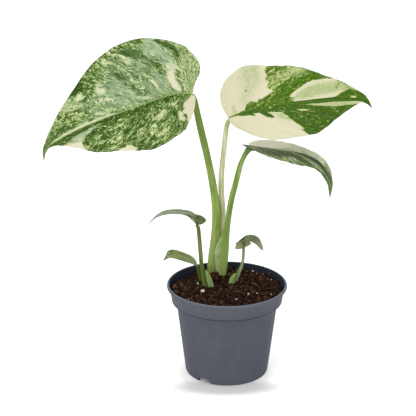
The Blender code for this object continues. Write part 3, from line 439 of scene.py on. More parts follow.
# One row for each blade, as Blade takes it.
LEAVES = (
    dict(
        node="left_large_leaf", slot="leaf_mottled", look="mottled", marks=LEFT_LARGE_MARKS,
        vein_gap=15.0, rib=1.9, flare=0.0, rows=210, across=64,
        midrib=[
            (-33.9, 18.0, 283.6), (-54.1, 15.0, 283.3), (-88.2, 9.0, 272.6), (-122.1, 3.0, 261.6),
            (-152.7, -3.0, 249.2), (-172.9, -9.0, 236.8), (-177.0, -12.0, 222.6),
        ],
        up_base=(0.0, -0.63, 0.78),
        up_tip=(0.0, -0.63, 0.78),
        left=[
            (0, 0), (-2, 6), (0, 19), (3, 32), (6, 42), (13, 54), (24, 60.5), (38, 65), (50, 68.5),
            (60, 68.5), (71, 63.5), (85, 55), (100, 48.5), (113, 38.5), (123, 27), (133, 16), (142, 6.2),
            (149, 1.8), (155, 0.8), (166, 0),
        ],
        right=[
            (0, 0), (-1, 6), (-3, 12), (-8, 19.5), (-9.5, 26), (-8, 34), (-1, 43.5), (10, 51),
            (19, 58.5), (28, 63.5), (40, 66.2), (59, 65.2), (77, 59.2), (90, 51), (106, 39), (122, 27),
            (140, 12.8), (153, 4), (166, 0),
        ],
        fold=(18, 18),
    ),
    dict(
        node="cream_leaf", slot="leaf_cream", look="cream", marks=CREAM_MARKS,
        vein_gap=15.0, rib=1.7, flare=0.0, rows=190, across=58,
        midrib=[
            (0.9, 25.0, 256.8), (15.1, 24.0, 262.8), (28.4, 22.0, 267.5), (56.0, 18.0, 273.1),
            (89.0, 14.0, 277.1), (121.6, 9.0, 279.9), (132.4, 6.0, 278.5), (139.1, 4.0, 272.4),
        ],
        up_base=(0.0, -0.46, 0.89),
        up_tip=(0.0, -0.46, 0.89),
        left=[
            (0, 0), (-1, 5), (-3.4, 16), (-3.2, 32), (2, 43.5), (9.5, 52), (16, 57.5), (23, 61),
            (32, 58.5), (42, 55), (54, 53), (67, 50), (81, 43.5), (98, 33), (111, 26), (122, 17),
            (132, 8.5), (139, 3), (145.5, 0),
        ],
        right=[
            (0, 0), (0.5, 3), (2, 10), (6, 18), (12, 26.5), (21, 35.5), (30, 43), (42, 50.5), (53, 54),
            (68, 54), (81, 51.5), (90, 49), (101, 39.5), (113, 24.5), (121, 15), (130, 6), (137, 2),
            (145.5, 0),
        ],
        fold=(5, 5),
    ),
    dict(
        node="drooping_leaf", slot="leaf_green", look="drooping", marks=DROOPING_MARKS,
        vein_gap=11.0, rib=1.3, flare=1.2, rows=130, across=34,
        midrib=[
            (21.4, 10.0, 233.8), (40.7, 8.5, 231.0), (65.5, 5.0, 227.1), (87.4, 1.0, 216.3),
            (98.7, -3.0, 199.4), (99.9, -6.0, 184.5),
        ],
        up_base=(-0.02, 0.07, 1.0),
        up_tip=(1.0, -0.4, 0.35),
        left=[
            (0, 0), (-1, 7), (3, 17), (12, 25.5), (23, 27), (33, 23.5), (44, 21), (56, 20), (68, 21),
            (80, 18.5), (88, 13), (97, 6), (106, 0),
        ],
        right=[
            (0, 0), (-5, 1), (-7.5, 2.8), (-4, 7), (2, 12), (10, 18.5), (22, 23.5), (36, 25.5), (50, 22.5),
            (62, 14.5), (75, 7.5), (88, 5), (98, 4), (106, 0),
        ],
        fold=(1.5, -3),
    ),
    dict(
        node="left_upper_leaf", slot="leaf_green", look="upper", marks=LEFT_UPPER_MARKS,
        vein_gap=6.0, rib=1.1, flare=0.3, rows=80, across=22,
        midrib=[
            (-28.7, 3.0, 155.0), (-33.3, 3.0, 161.2), (-38.7, 3.0, 165.0), (-46.6, 3.0, 166.9),
            (-56.4, 2.0, 167.5), (-64.2, 1.0, 166.3), (-71.1, 0.5, 162.6), (-77.8, 0.0, 156.1),
        ],
        up_base=(0.8, 0.1, 0.6),
        up_tip=(-0.5, 0.12, 0.9),
        left=[
            (0, 0), (-1.5, 7), (0, 13.5), (5, 15), (12, 13.8), (20, 12.6), *heart(58.0, 13.0, 0.0, 1.3)[6:],
        ],
        right=heart(58.0, 13.0, 4.0, 1.3),
        fold=(2, 2),
        base_fold=(55, 14),
    ),
    dict(
        node="left_lower_leaf", slot="leaf_green", look="lower", marks=LEFT_LOWER_MARKS,
        vein_gap=5.0, rib=0.8, flare=0.3, rows=64, across=18,
        midrib=[
            (-30.6, 20.0, 106.7), (-35.2, 20.0, 110.0), (-43.2, 20.0, 112.6), (-51.3, 20.0, 114.4),
            (-57.3, 20.0, 114.2), (-60.9, 20.0, 111.8), (-64.2, 20.0, 109.4),
        ],
        up_base=(0.4, -0.02, 0.9),
        up_tip=(-0.4, -0.02, 0.9),
        left=heart(38.0, 11.0, 1.5),
        right=[
            (0, 0), (0.5, 3), (5, 6.5), (12, 8.5), (20, 10.5), (26, 11.5), (30, 10.5), (33, 6),
            (35.5, 2.4), (38, 0),
        ],
        fold=(2, 14),
    ),
    dict(
        node="right_small_leaf", slot="leaf_green", look="curled", marks=RIGHT_SMALL_MARKS,
        vein_gap=5.0, rib=0.8, flare=0.3, rows=64, across=20,
        midrib=[
            (15.2, 9.0, 137.6), (19.2, 9.0, 140.5), (25.6, 9.0, 140.9), (31.4, 9.0, 137.9),
            (34.8, 9.0, 131.0), (36.8, 9.0, 123.0),
        ],
        up_base=(-0.4, 0.0, 0.9),
        up_tip=(0.9, 0.0, 0.3),
        left=heart(31.0, 14.5, 12.5, 1.3),
        right=[
            (0, 0), (-6, 1.0), (-10, 1.8), (-7, 3.4), (-1, 7.0), (5, 11.0), (12, 14.4), (19, 14.8),
            (25, 12.5), (29, 7.0), (31, 0),
        ],
        fold=(-40, -14),
        base_fold=(-84, -14),
    ),
)


# --- Shared shape helpers --------------------------------------------------------------------------------


# Steps between two points of a curve's table.
CURVE_STEPS = 16


def smooth_curve(points):
    """Catmull-Rom points through a short list of points."""
    rows = [Vector(point) for point in points]
    rows = [2 * rows[0] - rows[1], *rows, 2 * rows[-1] - rows[-2]]
    made = []
    for a, b, c, d in zip(rows, rows[1:], rows[2:], rows[3:]):
        for step in range(CURVE_STEPS):
            t = step / CURVE_STEPS
            bent = 2 * b + (c - a) * t + (2 * a - 5 * b + 4 * c - d) * t**2
            made.append(0.5 * (bent + (3 * b - a - 3 * c + d) * t**3))
    return [*made, rows[-2]]


class Track:
    """A smooth curve that is read by its share of length, from 0 to 1."""

    def __init__(self, points):
        self.rows = smooth_curve(points)
        self.sums = [0.0, *accumulate((b - a).length for a, b in zip(self.rows, self.rows[1:]))]
        self.length = self.sums[-1]

    def at(self, share):
        wanted = min(max(share, 0.0), 1.0) * self.length
        low = min(bisect(self.sums, wanted), len(self.sums) - 1) - 1
        part = (wanted - self.sums[low]) / (self.sums[low + 1] - self.sums[low])
        return self.rows[low].lerp(self.rows[low + 1], part)

    def direction(self, share):
        step = 0.01
        return (self.at(share + step) - self.at(share - step)).normalized()


def mesh_of(name, shape, smooth=True, unit=MM, origin=AXIS):
    """A mesh in metres from a bmesh, which is in millimetres about the pot's axis unless told otherwise."""
    bmesh.ops.scale(shape, vec=(unit, unit, unit), verts=shape.verts)
    bmesh.ops.translate(shape, vec=origin, verts=shape.verts)
    mesh = bpy.data.meshes.new(name)
    shape.to_mesh(mesh)
    shape.free()
    for polygon in mesh.polygons:
        polygon.use_smooth = smooth
    return mesh


def add_object(name, data, *finishes):
    """An object of the scene with its data and finishes."""
    made = bpy.data.objects.new(name, data)
    bpy.context.scene.collection.objects.link(made)
    for finish in finishes:
        data.materials.append(finish)
    return made


def evaluated_mesh(piece):
    """The plain mesh that a piece's modifiers make. The modifiers go."""
    graph = bpy.context.evaluated_depsgraph_get()
    mesh = bpy.data.meshes.new_from_object(piece.evaluated_get(graph))
    mesh.name = piece.name
    piece.modifiers.clear()
    return mesh


def settle(piece, slot, *nodes):
    """Ties a finished piece to the plant's one body and to the solids that it stands for."""
    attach(piece, "root")
    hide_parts(*nodes)


def add_node(tree, kind, inputs=None, **settings):
    """One node with its settings. inputs gives each input a value, or another node or its socket."""
    node = tree.nodes.new(kind)
    for name, value in settings.items():
        setattr(node, name, value)
    for name, value in (inputs or {}).items():
        if isinstance(value, bpy.types.Node):
            value = value.outputs[0]
        if isinstance(value, bpy.types.NodeSocket):
            tree.links.new(value, node.inputs[name])
        else:
            node.inputs[name].default_value = value
    return node


def new_material(name, **sockets):
    """A material and the tree of its shader, with constant values set on the shader's own sockets."""
    material = bpy.data.materials.new(name)
    material.use_nodes = True
    tree = material.node_tree
    shader = tree.nodes["Principled BSDF"]
    for socket, value in sockets.items():
        shader.inputs[socket.replace("_", " ")].default_value = value
    return material, tree, shader


def colour(value):
    """A colour for a node's socket, from a hex code or a property."""
    return (*(linear(value) if isinstance(value, str) else value), 1.0)


def seen_by_eye(tree):
    """1 where the eye looks straight at a thing, or by way of a gloss or a glass, and otherwise 0."""
    ray = add_node(tree, "ShaderNodeLightPath").outputs
    seen = ray["Is Camera Ray"]
    for kind in ("Is Glossy Ray", "Is Transmission Ray"):
        seen = add_node(tree, "ShaderNodeMath", {0: seen, 1: ray[kind]}, operation="MAXIMUM")
    return seen


def painted_over(tree, paint, layers):
    """A colour under tints in turn, each laid on from least to most as its source goes from low to high."""
    for source, low, high, least, most, tint in layers:
        span = {"Value": source, "From Min": low, "From Max": high, "To Min": least, "To Max": most}
        mix = {0: add_node(tree, "ShaderNodeMapRange", span), 6: paint, 7: colour(tint)}
        paint = add_node(tree, "ShaderNodeMix", mix, data_type="RGBA").outputs[2]
    return paint


# --- Operators' shapes: pot ------------------------------------------------------------------------------


def pot_inside_radius(z):
    """The pot's inner wall below the collar, at height z."""
    slope = (BODY_TOP_RADIUS - FOOT_RADIUS) / BODY_TOP_Z
    return FOOT_RADIUS + slope * z - POT_WALL


def pot_profile():
    """Half section of the pot: up the inside from the floor, over the lip and down the outside."""
    collar_z = POT_HEIGHT - COLLAR_DEPTH
    inside = [
        (0.0, POT_FLOOR),
        (pot_inside_radius(POT_FLOOR) - 2.0, POT_FLOOR),
        (pot_inside_radius(POT_FLOOR + 0.5) - 0.5, POT_FLOOR + 0.6),
        (pot_inside_radius(POT_FLOOR + 2.0), POT_FLOOR + 2.2),
        (pot_inside_radius(BODY_TOP_Z), BODY_TOP_Z + 0.3),
        (pot_inside_radius(BODY_TOP_Z) + 0.6, BODY_TOP_Z + 1.0),
        (COLLAR_FOOT_RADIUS - POT_WALL - 0.9, collar_z + 0.2),
        (COLLAR_FOOT_RADIUS - POT_WALL - 0.3, collar_z + 0.9),
        (COLLAR_RADIUS - POT_WALL, POT_HEIGHT - 6.5),
        (LIP_RADIUS - 3.7, POT_HEIGHT - 4.4),
        (LIP_RADIUS - 2.9, POT_HEIGHT - 2.4),
        (LIP_RADIUS - 2.35, POT_HEIGHT - 0.9),
    ]
    lip = [
        (LIP_RADIUS - 2.15, POT_HEIGHT - 0.35),
        (LIP_RADIUS - 1.75, POT_HEIGHT - 0.06),
        (LIP_RADIUS - 1.2, POT_HEIGHT),
        (LIP_RADIUS - 0.7, POT_HEIGHT - 0.14),
        (LIP_RADIUS - 0.25, POT_HEIGHT - 0.55),
        (LIP_RADIUS, POT_HEIGHT - 1.2),
        (LIP_RADIUS, POT_HEIGHT - 2.4),
        (LIP_RADIUS - 0.2, POT_HEIGHT - 2.95),
        (LIP_RADIUS - 0.7, POT_HEIGHT - 3.3),
        (COLLAR_RADIUS + 0.4, POT_HEIGHT - 3.7),
        (COLLAR_RADIUS, POT_HEIGHT - 4.3),
    ]
    outside = [
        (COLLAR_FOOT_RADIUS, collar_z + 0.7),
        (COLLAR_FOOT_RADIUS - 0.1, collar_z + 0.3),
        (COLLAR_FOOT_RADIUS - 0.35, collar_z + 0.05),
        (COLLAR_FOOT_RADIUS - 1.5, collar_z + 0.25),
        (COLLAR_FOOT_RADIUS - 1.7, collar_z - 0.5),
        (BODY_TOP_RADIUS + 1.5, BODY_TOP_Z + 2.0),
        (BODY_TOP_RADIUS + 0.6, BODY_TOP_Z + 0.3),
        (BODY_TOP_RADIUS + 0.1, BODY_TOP_Z - 1.2),
        (BODY_TOP_RADIUS - 0.25, BODY_TOP_Z - 3.0),
        (FOOT_RADIUS + 0.35, 2.6),
        (FOOT_RADIUS - 0.1, 0.9),
        (FOOT_RADIUS - 0.4, 0.25),
        (FOOT_RADIUS - 0.9, 0.0),
        (FOOT_INNER_RADIUS + 0.3, 0.0),
        (FOOT_INNER_RADIUS, 0.3),
        (FOOT_INNER_RADIUS - 0.3, FOOT_HEIGHT - 0.8),
        (FOOT_INNER_RADIUS - 1.0, FOOT_HEIGHT),
        (0.0, FOOT_HEIGHT),
    ]
    return inside + lip + outside


def pot_cutters():
    """The foot's notches and the floor's drain holes, as one bmesh of separate closed bodies."""
    shape = bmesh.new()
    for degrees in NOTCH_ANGLES:
        notch = bmesh.new()
        bmesh.ops.create_cube(notch, size=1.0)
        bmesh.ops.scale(notch, vec=(NOTCH_REACH, NOTCH_WIDTH, 2 * NOTCH_HEIGHT), verts=notch.verts)
        long = [edge for edge in notch.edges if abs(edge.verts[0].co.x - edge.verts[1].co.x) > 1.0]
        bmesh.ops.bevel(notch, geom=long, offset=NOTCH_CORNER, segments=4, affect="EDGES", profile=0.5)
        bmesh.ops.translate(notch, vec=(FOOT_RADIUS, 0.0, 0.0), verts=notch.verts)
        turn = Matrix.Rotation(math.radians(degrees), 3, "Z")
        bmesh.ops.rotate(notch, cent=(0.0, 0.0, 0.0), matrix=turn, verts=notch.verts)
        held = bpy.data.meshes.new("notch")
        notch.to_mesh(held)
        notch.free()
        shape.from_mesh(held)
        bpy.data.meshes.remove(held)
    for index in range(DRAIN_HOLE_COUNT):
        angle = 2 * math.pi * index / DRAIN_HOLE_COUNT
        made = bmesh.ops.create_cone(
            shape, segments=32, radius1=DRAIN_HOLE_RADIUS, radius2=DRAIN_HOLE_RADIUS, depth=8.0, cap_ends=True
        )["verts"]
        x, y = DRAIN_RING_RADIUS * math.cos(angle), DRAIN_RING_RADIUS * math.sin(angle)
        bmesh.ops.translate(shape, vec=(x, y, POT_FLOOR), verts=made)
    return shape


# --- Operators' shapes: compost --------------------------------------------------------------------------


def soil_height(x, y):
    """Height of the compost's surface: level, heaped at the shoots and lumpy."""
    height = SOIL_LEVEL
    for heap_x, heap_y, rise, spread in SOIL_HEAPS:
        height += rise * math.exp(-((x - heap_x) ** 2 + (y - heap_y) ** 2) / (2 * spread**2))
    for waves, lump in SOIL_LUMPS:
        height += lump * noise.noise(Vector((x, y, 0.0)) * waves)
    return height


def crumbly_height(x, y):
    """The surface with the fine crumble that the solid leaves out."""
    height = soil_height(x, y)
    for waves, lump in SOIL_CRUMBLE:
        height += lump * noise.noise(Vector((x, y, 7.0)) * waves)
    return height


def soil_body(ring_count, side_count):
    """The compost's solid: its crumbly top, its side just inside the pot's wall and its flat base."""
    collar_z = POT_HEIGHT - COLLAR_DEPTH
    floor = POT_FLOOR + 0.3
    rings = [(SOIL_RADIUS * ring / ring_count, None) for ring in range(1, ring_count + 1)]
    rings += [
        (COLLAR_FOOT_RADIUS - POT_WALL - 0.6, collar_z + 1.0),
        (pot_inside_radius(BODY_TOP_Z) - 0.5, BODY_TOP_Z + 0.3),
        (pot_inside_radius(floor + 2.0) - 0.5, floor + 2.0),
        (pot_inside_radius(floor) - 2.6, floor),
    ]
    shape = bmesh.new()
    centre = shape.verts.new((0.0, 0.0, soil_height(0.0, 0.0)))
    loops = []
    for radius, z in rings:
        loop = []
        for k in range(side_count):
            angle = 2 * math.pi * k / side_count
            x, y = radius * math.cos(angle), radius * math.sin(angle)
            loop.append(shape.verts.new((x, y, crumbly_height(x, y) if z is None else z)))
        loops.append(loop)
    for k in range(side_count):
        shape.faces.new([centre, loops[0][k], loops[0][(k + 1) % side_count]])
    for inner, outer in zip(loops, loops[1:]):
        for k in range(side_count):
            after = (k + 1) % side_count
            shape.faces.new([inner[k], outer[k], outer[after], inner[after]])
    shape.faces.new(loops[-1][::-1])
    return shape


def crumb(seed):
    """One angular crumb about a metre across, to be scaled where it is strewn."""
    shape = bmesh.new()
    bmesh.ops.create_icosphere(shape, subdivisions=1, radius=0.5)
    for vertex in shape.verts:
        swell = 1.0 + 0.9 * noise.noise(vertex.co * 3.1 + Vector((seed * 7.0, 0.0, 0.0)))
        vertex.co = vertex.co * swell
        vertex.co.z *= 0.72
    return shape


def strand(seed):
    """One fibre about a metre long, three-sided and bent along its length."""
    steps = 6
    rings = []
    for step in range(steps + 1):
        t = step / steps - 0.5
        centre = Vector((t, 0.16 * math.sin(5.0 * t + seed), 0.10 * math.cos(4.0 * t + 2 * seed)))
        thick = 0.05 * (0.5 * (1.0 - (2 * t) ** 4) + 0.12)
        rings.append((centre, Vector((0.0, 1.0, 0.0)), Vector((0.0, 0.0, 1.0)), thick, thick))
    shape = bmesh.new()
    tube(shape, None, rings, 3)
    return shape


def strewn_shapes(name, make, count):
    """Small shapes for a scatter tree to pick from."""
    made = []
    for seed in range(count):
        shape = make(seed)
        bmesh.ops.recalc_face_normals(shape, faces=shape.faces)
        numbered = f"{name}_{seed}"
        made.append(add_object(numbered, mesh_of(numbered, shape, False, unit=1.0, origin=(0.0, 0.0, 0.0))))
    return made


def scatter_tree(name, shapes, material):
    """A node group that strews small shapes over a surface, each raised by a share of its own width."""
    tree = bpy.data.node_groups.new(name, "GeometryNodeTree")
    face = tree.interface
    face.new_socket("Surface", in_out="INPUT", socket_type="NodeSocketGeometry")
    for label in ("Density", "Smallest", "Largest", "Raised", "Tilt"):
        face.new_socket(label, in_out="INPUT", socket_type="NodeSocketFloat")
    face.new_socket("Seed", in_out="INPUT", socket_type="NodeSocketInt")
    face.new_socket("Pieces", in_out="OUTPUT", socket_type="NodeSocketGeometry")
    given = tree.nodes.new("NodeGroupInput").outputs
    seed = {"Seed": given["Seed"]}
    ground = {"Mesh": given["Surface"], "Density": given["Density"], **seed}
    points = add_node(tree, "GeometryNodeDistributePointsOnFaces", ground, distribute_method="RANDOM")
    join = tree.nodes.new("GeometryNodeJoinGeometry")
    for shape in shapes:
        info = add_node(tree, "GeometryNodeObjectInfo", {"Object": shape})
        single = add_node(tree, "GeometryNodeGeometryToInstance", {"Geometry": info.outputs["Geometry"]})
        tree.links.new(single.outputs[0], join.inputs[0])
    tilt = add_node(tree, "ShaderNodeCombineXYZ", {"X": given["Tilt"], "Y": given["Tilt"], "Z": 2 * math.pi})
    turn = add_node(tree, "FunctionNodeRandomValue", {"Max": tilt, **seed}, data_type="FLOAT_VECTOR")
    # A random value's float limits are its inputs 2 and 3, and its float is output 1.
    sizes = {2: given["Smallest"], 3: given["Largest"], **seed}
    size = add_node(tree, "FunctionNodeRandomValue", sizes, data_type="FLOAT").outputs[1]
    placing = {
        "Points": points, "Instance": join, "Pick Instance": True, "Rotation": turn.outputs["Value"],
        "Scale": size,
    }
    placed = add_node(tree, "GeometryNodeInstanceOnPoints", placing)
    rise = add_node(tree, "ShaderNodeMath", {0: size, 1: given["Raised"]}, operation="MULTIPLY")
    rise = add_node(tree, "ShaderNodeCombineXYZ", {"Z": rise})
    raising = {"Instances": placed, "Translation": rise, "Local Space": False}
    raised = add_node(tree, "GeometryNodeTranslateInstances", raising)
    real = add_node(tree, "GeometryNodeRealizeInstances", {"Geometry": raised})
    finish = add_node(tree, "GeometryNodeSetMaterial", {"Geometry": real, "Material": material})
    add_node(tree, "NodeGroupOutput", {"Pieces": finish})
    return tree


def scattered(name, ground, tree, material, **inputs):
    """A plain mesh of what a scatter tree strews over the ground."""
    holder = add_object(name, ground.copy())
    step = holder.modifiers.new(name, "NODES")
    step.node_group = tree
    for item in tree.interface.items_tree:
        if item.item_type == "SOCKET" and item.in_out == "INPUT" and item.name in inputs:
            step[item.identifier] = inputs[item.name]
    mesh = evaluated_mesh(holder)
    bpy.data.objects.remove(holder)
    mesh.materials.clear()
    return add_object(name, mesh, material)


def grains_shape():
    """The larger perlite grains, each a lumpy bead half sunk in the compost."""
    shape = bmesh.new()
    for seed, (x, y, radius) in enumerate(PERLITE):
        made = bmesh.ops.create_icosphere(shape, subdivisions=4, radius=1.0)["verts"]
        centre = Vector((x, y, soil_height(x, y) + 0.45 * radius + 0.7))
        for vertex in made:
            lump = 1.0 + 0.34 * noise.noise(vertex.co * 1.7 + Vector((seed, 0.0, 0.0)))
            lump += 0.18 * noise.noise(vertex.co * 4.3 + Vector((0.0, seed, 0.0)))
            vertex.co = centre + vertex.co * radius * lump
    return shape


def chip_shape():
    """A chip of bark on edge against the main shoot, its foot sunk in the compost."""
    shape = bmesh.new()
    bmesh.ops.create_cube(shape, size=1.0)
    bmesh.ops.subdivide_edges(shape, edges=shape.edges, cuts=18, use_grid_fill=True)
    lean = Vector((0.0, 1.0, 0.0)).rotation_difference(Vector(CHIP_FACES)).to_matrix()
    x, y = CHIP_PLACE
    foot = Vector((x, y, soil_height(x, y) + CHIP_LIFT))
    half = [side / 2 for side in CHIP_SIZE]
    for vertex in shape.verts:
        place = vertex.co * 2
        # Rounded corners, then the torn layers of the bark.
        squash = max(1.0, (abs(place.x) ** 5 + abs(place.z) ** 5) ** 0.2)
        place = Vector((place.x / squash * half[0], place.y * half[1], place.z / squash * half[2]))
        ridge = noise.noise(Vector((place.x * 0.9, place.y * 1.6, place.z * 0.18)))
        place.y += 0.55 * ridge
        edge = noise.noise(Vector((place.x * 0.3, 3.0, place.z * 0.5)))
        place.x *= 1.0 + 0.16 * edge
        place.z *= 1.0 + 0.10 * noise.noise(Vector((place.x * 0.7, 9.0, 0.0)))
        vertex.co = foot + lean @ place
    return shape


# --- Operators' shapes: stalks ---------------------------------------------------------------------------


def tube(shape, layer, rings, sides):
    """Skins rings of (centre, left, up, wide, deep) into a closed body.

    The UV layer, if any, holds the turn from the right, 0 to 1, and the length, up to 0 at the last ring.
    """
    made = []
    lengths = [0.0]
    for before, after in zip(rings, rings[1:]):
        lengths.append(lengths[-1] + (after[0] - before[0]).length)
    for centre, left, up, wide, deep in rings:
        ring = []
        for k in range(sides):
            angle = 2 * math.pi * k / sides
            ring.append(shape.verts.new(centre + left * wide * math.cos(angle) + up * deep * math.sin(angle)))
        made.append(ring)
    for index, (low, high) in enumerate(zip(made, made[1:])):
        for k in range(sides):
            after = (k + 1) % sides
            face = shape.faces.new([low[k], low[after], high[after], high[k]])
            if layer:
                spots = [(k, index), (k + 1, index), (k + 1, index + 1), (k, index + 1)]
                for loop, (turn, ring) in zip(face.loops, spots):
                    loop[layer].uv = (turn / sides, lengths[ring] - lengths[-1])
    shape.faces.new(made[0][::-1])
    shape.faces.new(made[-1])


def petiole_shape(path, radii):
    """A petiole along its path: a little flattened, with a swollen joint under its blade."""
    shape = bmesh.new()
    layer = shape.loops.layers.uv.new("skin")
    track = Track(path)
    sizes = Track([(radius, 0.0, index) for index, radius in enumerate(radii)])
    count = max(24, round(track.length / 1.4))
    rings = []
    left = Vector((1.0, 0.0, 0.0))
    for k in range(count + 1):
        share = k / count
        along = track.direction(share)
        left = (left - along * left.dot(along)).normalized()
        up = along.cross(left)
        radius = sizes.at(share).x
        from_top = (1.0 - share) * track.length
        radius *= 1.0 + 0.05 * math.exp(-(((from_top - 7.0) / 3.5) ** 2))
        radius *= 1.0 + 0.012 * math.sin(share * track.length * 0.5)
        if from_top < radius:
            radius *= math.sqrt(max(1.0 - ((radius - from_top) / radius) ** 2, 0.02))
        rings.append((track.at(share), left, up, radius, radius))
    tube(shape, layer, rings, 24)
    return shape


def lofted_shape(sections, ridge):
    """A petiole or sheath through level ellipses, with a thin margin raised along one side."""
    shape = bmesh.new()
    layer = shape.loops.layers.uv.new("skin")
    places = Track([section[:3] for section in sections])
    sizes = smooth_curve([(wide, deep, z) for _, _, z, wide, deep in sections])
    count = max(20, round(places.length / 1.2))
    rings = []
    for k in range(count + 1):
        share = k / count
        centre = places.at(share)
        size = min(sizes, key=lambda row: abs(row.z - centre.z))
        rings.append((centre, Vector((1.0, 0.0, 0.0)), Vector((0.0, 1.0, 0.0)), size.x, size.y))
    tube(shape, layer, rings, 32)
    turn, height, top = ridge
    for vertex in shape.verts:
        near = min(rings, key=lambda ring: abs(ring[0].z - vertex.co.z))
        offset = vertex.co - near[0]
        angle = math.atan2(offset.y / near[4], offset.x / near[3])
        lip = math.exp(-((math.remainder(angle - turn, 2 * math.pi) / 0.22) ** 2))
        # The margin fades over its last 8 mm.
        fade = max(0.0, min(1.0, (top - vertex.co.z) / 8.0))
        outward = Vector((offset.x, offset.y, 0.0)).normalized()
        vertex.co += outward * height * lip * fade
    return shape


# --- Operators' shapes: leaves ---------------------------------------------------------------------------


def share_inside(spots, outline, soft):
    """How far flat spots lie inside an outline: 0 outside, 1 inside, and between them across its edge."""
    x, y = spots[..., 0], spots[..., 1]
    nearest = np.full(x.shape, 1e9)
    inside = np.zeros(x.shape, bool)
    for (ax, ay), (bx, by) in zip(outline, outline[1:] + outline[:1]):
        dx, dy = bx - ax, by - ay
        t = np.clip(((x - ax) * dx + (y - ay) * dy) / (dx * dx + dy * dy), 0.0, 1.0)
        nearest = np.minimum(nearest, np.hypot(x - ax - t * dx, y - ay - t * dy))
        if dy:
            inside ^= ((ay > y) != (by > y)) & (x < ax + (y - ay) * dx / dy)
    t = np.clip(np.where(inside, nearest, -nearest) / (2 * soft) + 0.5, 0.0, 1.0)
    return t * t * (3.0 - 2.0 * t)


def painted(spots, marks):
    """Cream, deep and haze at each flat spot, as the marks give them in turn."""
    levels = np.zeros((*spots.shape[:-1], 3))
    for pulls, soft, outline in marks:
        share = share_inside(spots, outline, soft)
        for name, target in pulls.items():
            channel = ("cream", "deep", "haze").index(name)
            levels[..., channel] += (target - levels[..., channel]) * share
    return levels


@dataclass
class Blade:
    """A leaf blade: a flat outline on a sheet bent along its midrib.

    x runs along the midrib from the petiole to the tip. y is the distance from the midrib, above 0 on the
    left as one looks to the tip. up_base and up_tip say which way the upper face looks at the two ends. Each
    half rises from the midrib by its fold in degrees, and base_fold holds near the petiole.

    node is the solid it dresses and look the name of its tones. vein_gap is the distance between side veins,
    rib the radius of the midrib's keel and flare how much that widens at the petiole. rows of vertices lie
    along each half, and each has as many steps across.
    """

    node: str
    slot: str
    look: str
    marks: tuple
    vein_gap: float
    rib: float
    flare: float
    rows: int
    across: int
    midrib: list
    up_base: tuple
    up_tip: tuple
    left: list
    right: list
    fold: tuple
    base_fold: tuple = None

    def __post_init__(self):
        self.track = Track(self.midrib)
        self.length = self.track.length
        self.halves = {1: self.left, -1: self.right}
        self.folds = {1: self.fold[0], -1: self.fold[1]}
        base = self.base_fold or self.fold
        self.base_folds = {1: base[0], -1: base[1]}

    def frame(self, x):
        """The midrib's place at x, the way the upper face looks there and the way to the left."""
        share = min(max(x / self.length, 0.0), 1.0)
        along = self.track.direction(share)
        up = Vector(self.up_base).lerp(Vector(self.up_tip), share)
        up = (up - along * up.dot(along)).normalized()
        return self.track.at(share) + along * min(x, 0.0), up, up.cross(along)

    def point(self, side, x, y):
        """The place on the sheet of a flat spot, and the way its upper face looks there."""
        centre, up, left = self.frame(x)
        near_base = math.exp(-((max(x, 0.0) / (BASE_REACH * self.length)) ** 2))
        fold = self.folds[side] + (self.base_folds[side] - self.folds[side]) * near_base
        angle = math.radians(fold)
        reach = math.hypot(y, CREASE)
        place = centre + left * (y * math.cos(angle)) + up * math.sin(angle) * (reach - CREASE)
        return place, (up * math.cos(angle) - left * math.sin(angle) * y / reach).normalized()

    def vein(self, rim, share, across):
        """Flat points from the midrib to the margin along the lateral vein at this share of the rim."""
        foot = max((share - FAN_SHARE) / (1 - FAN_SHARE), 0.0) ** VEIN_SPREAD
        start = Vector((self.length * foot, 0.0, 0.0))
        end = rim.at(share)
        turn = Vector((start.x + VEIN_TURN[0] * (end.x - start.x), VEIN_TURN[1] * end.y, 0.0))
        points = []
        for step in range(across + 1):
            r = step / across
            points.append(start.lerp(turn, r).lerp(turn.lerp(end, r), r))
        return points


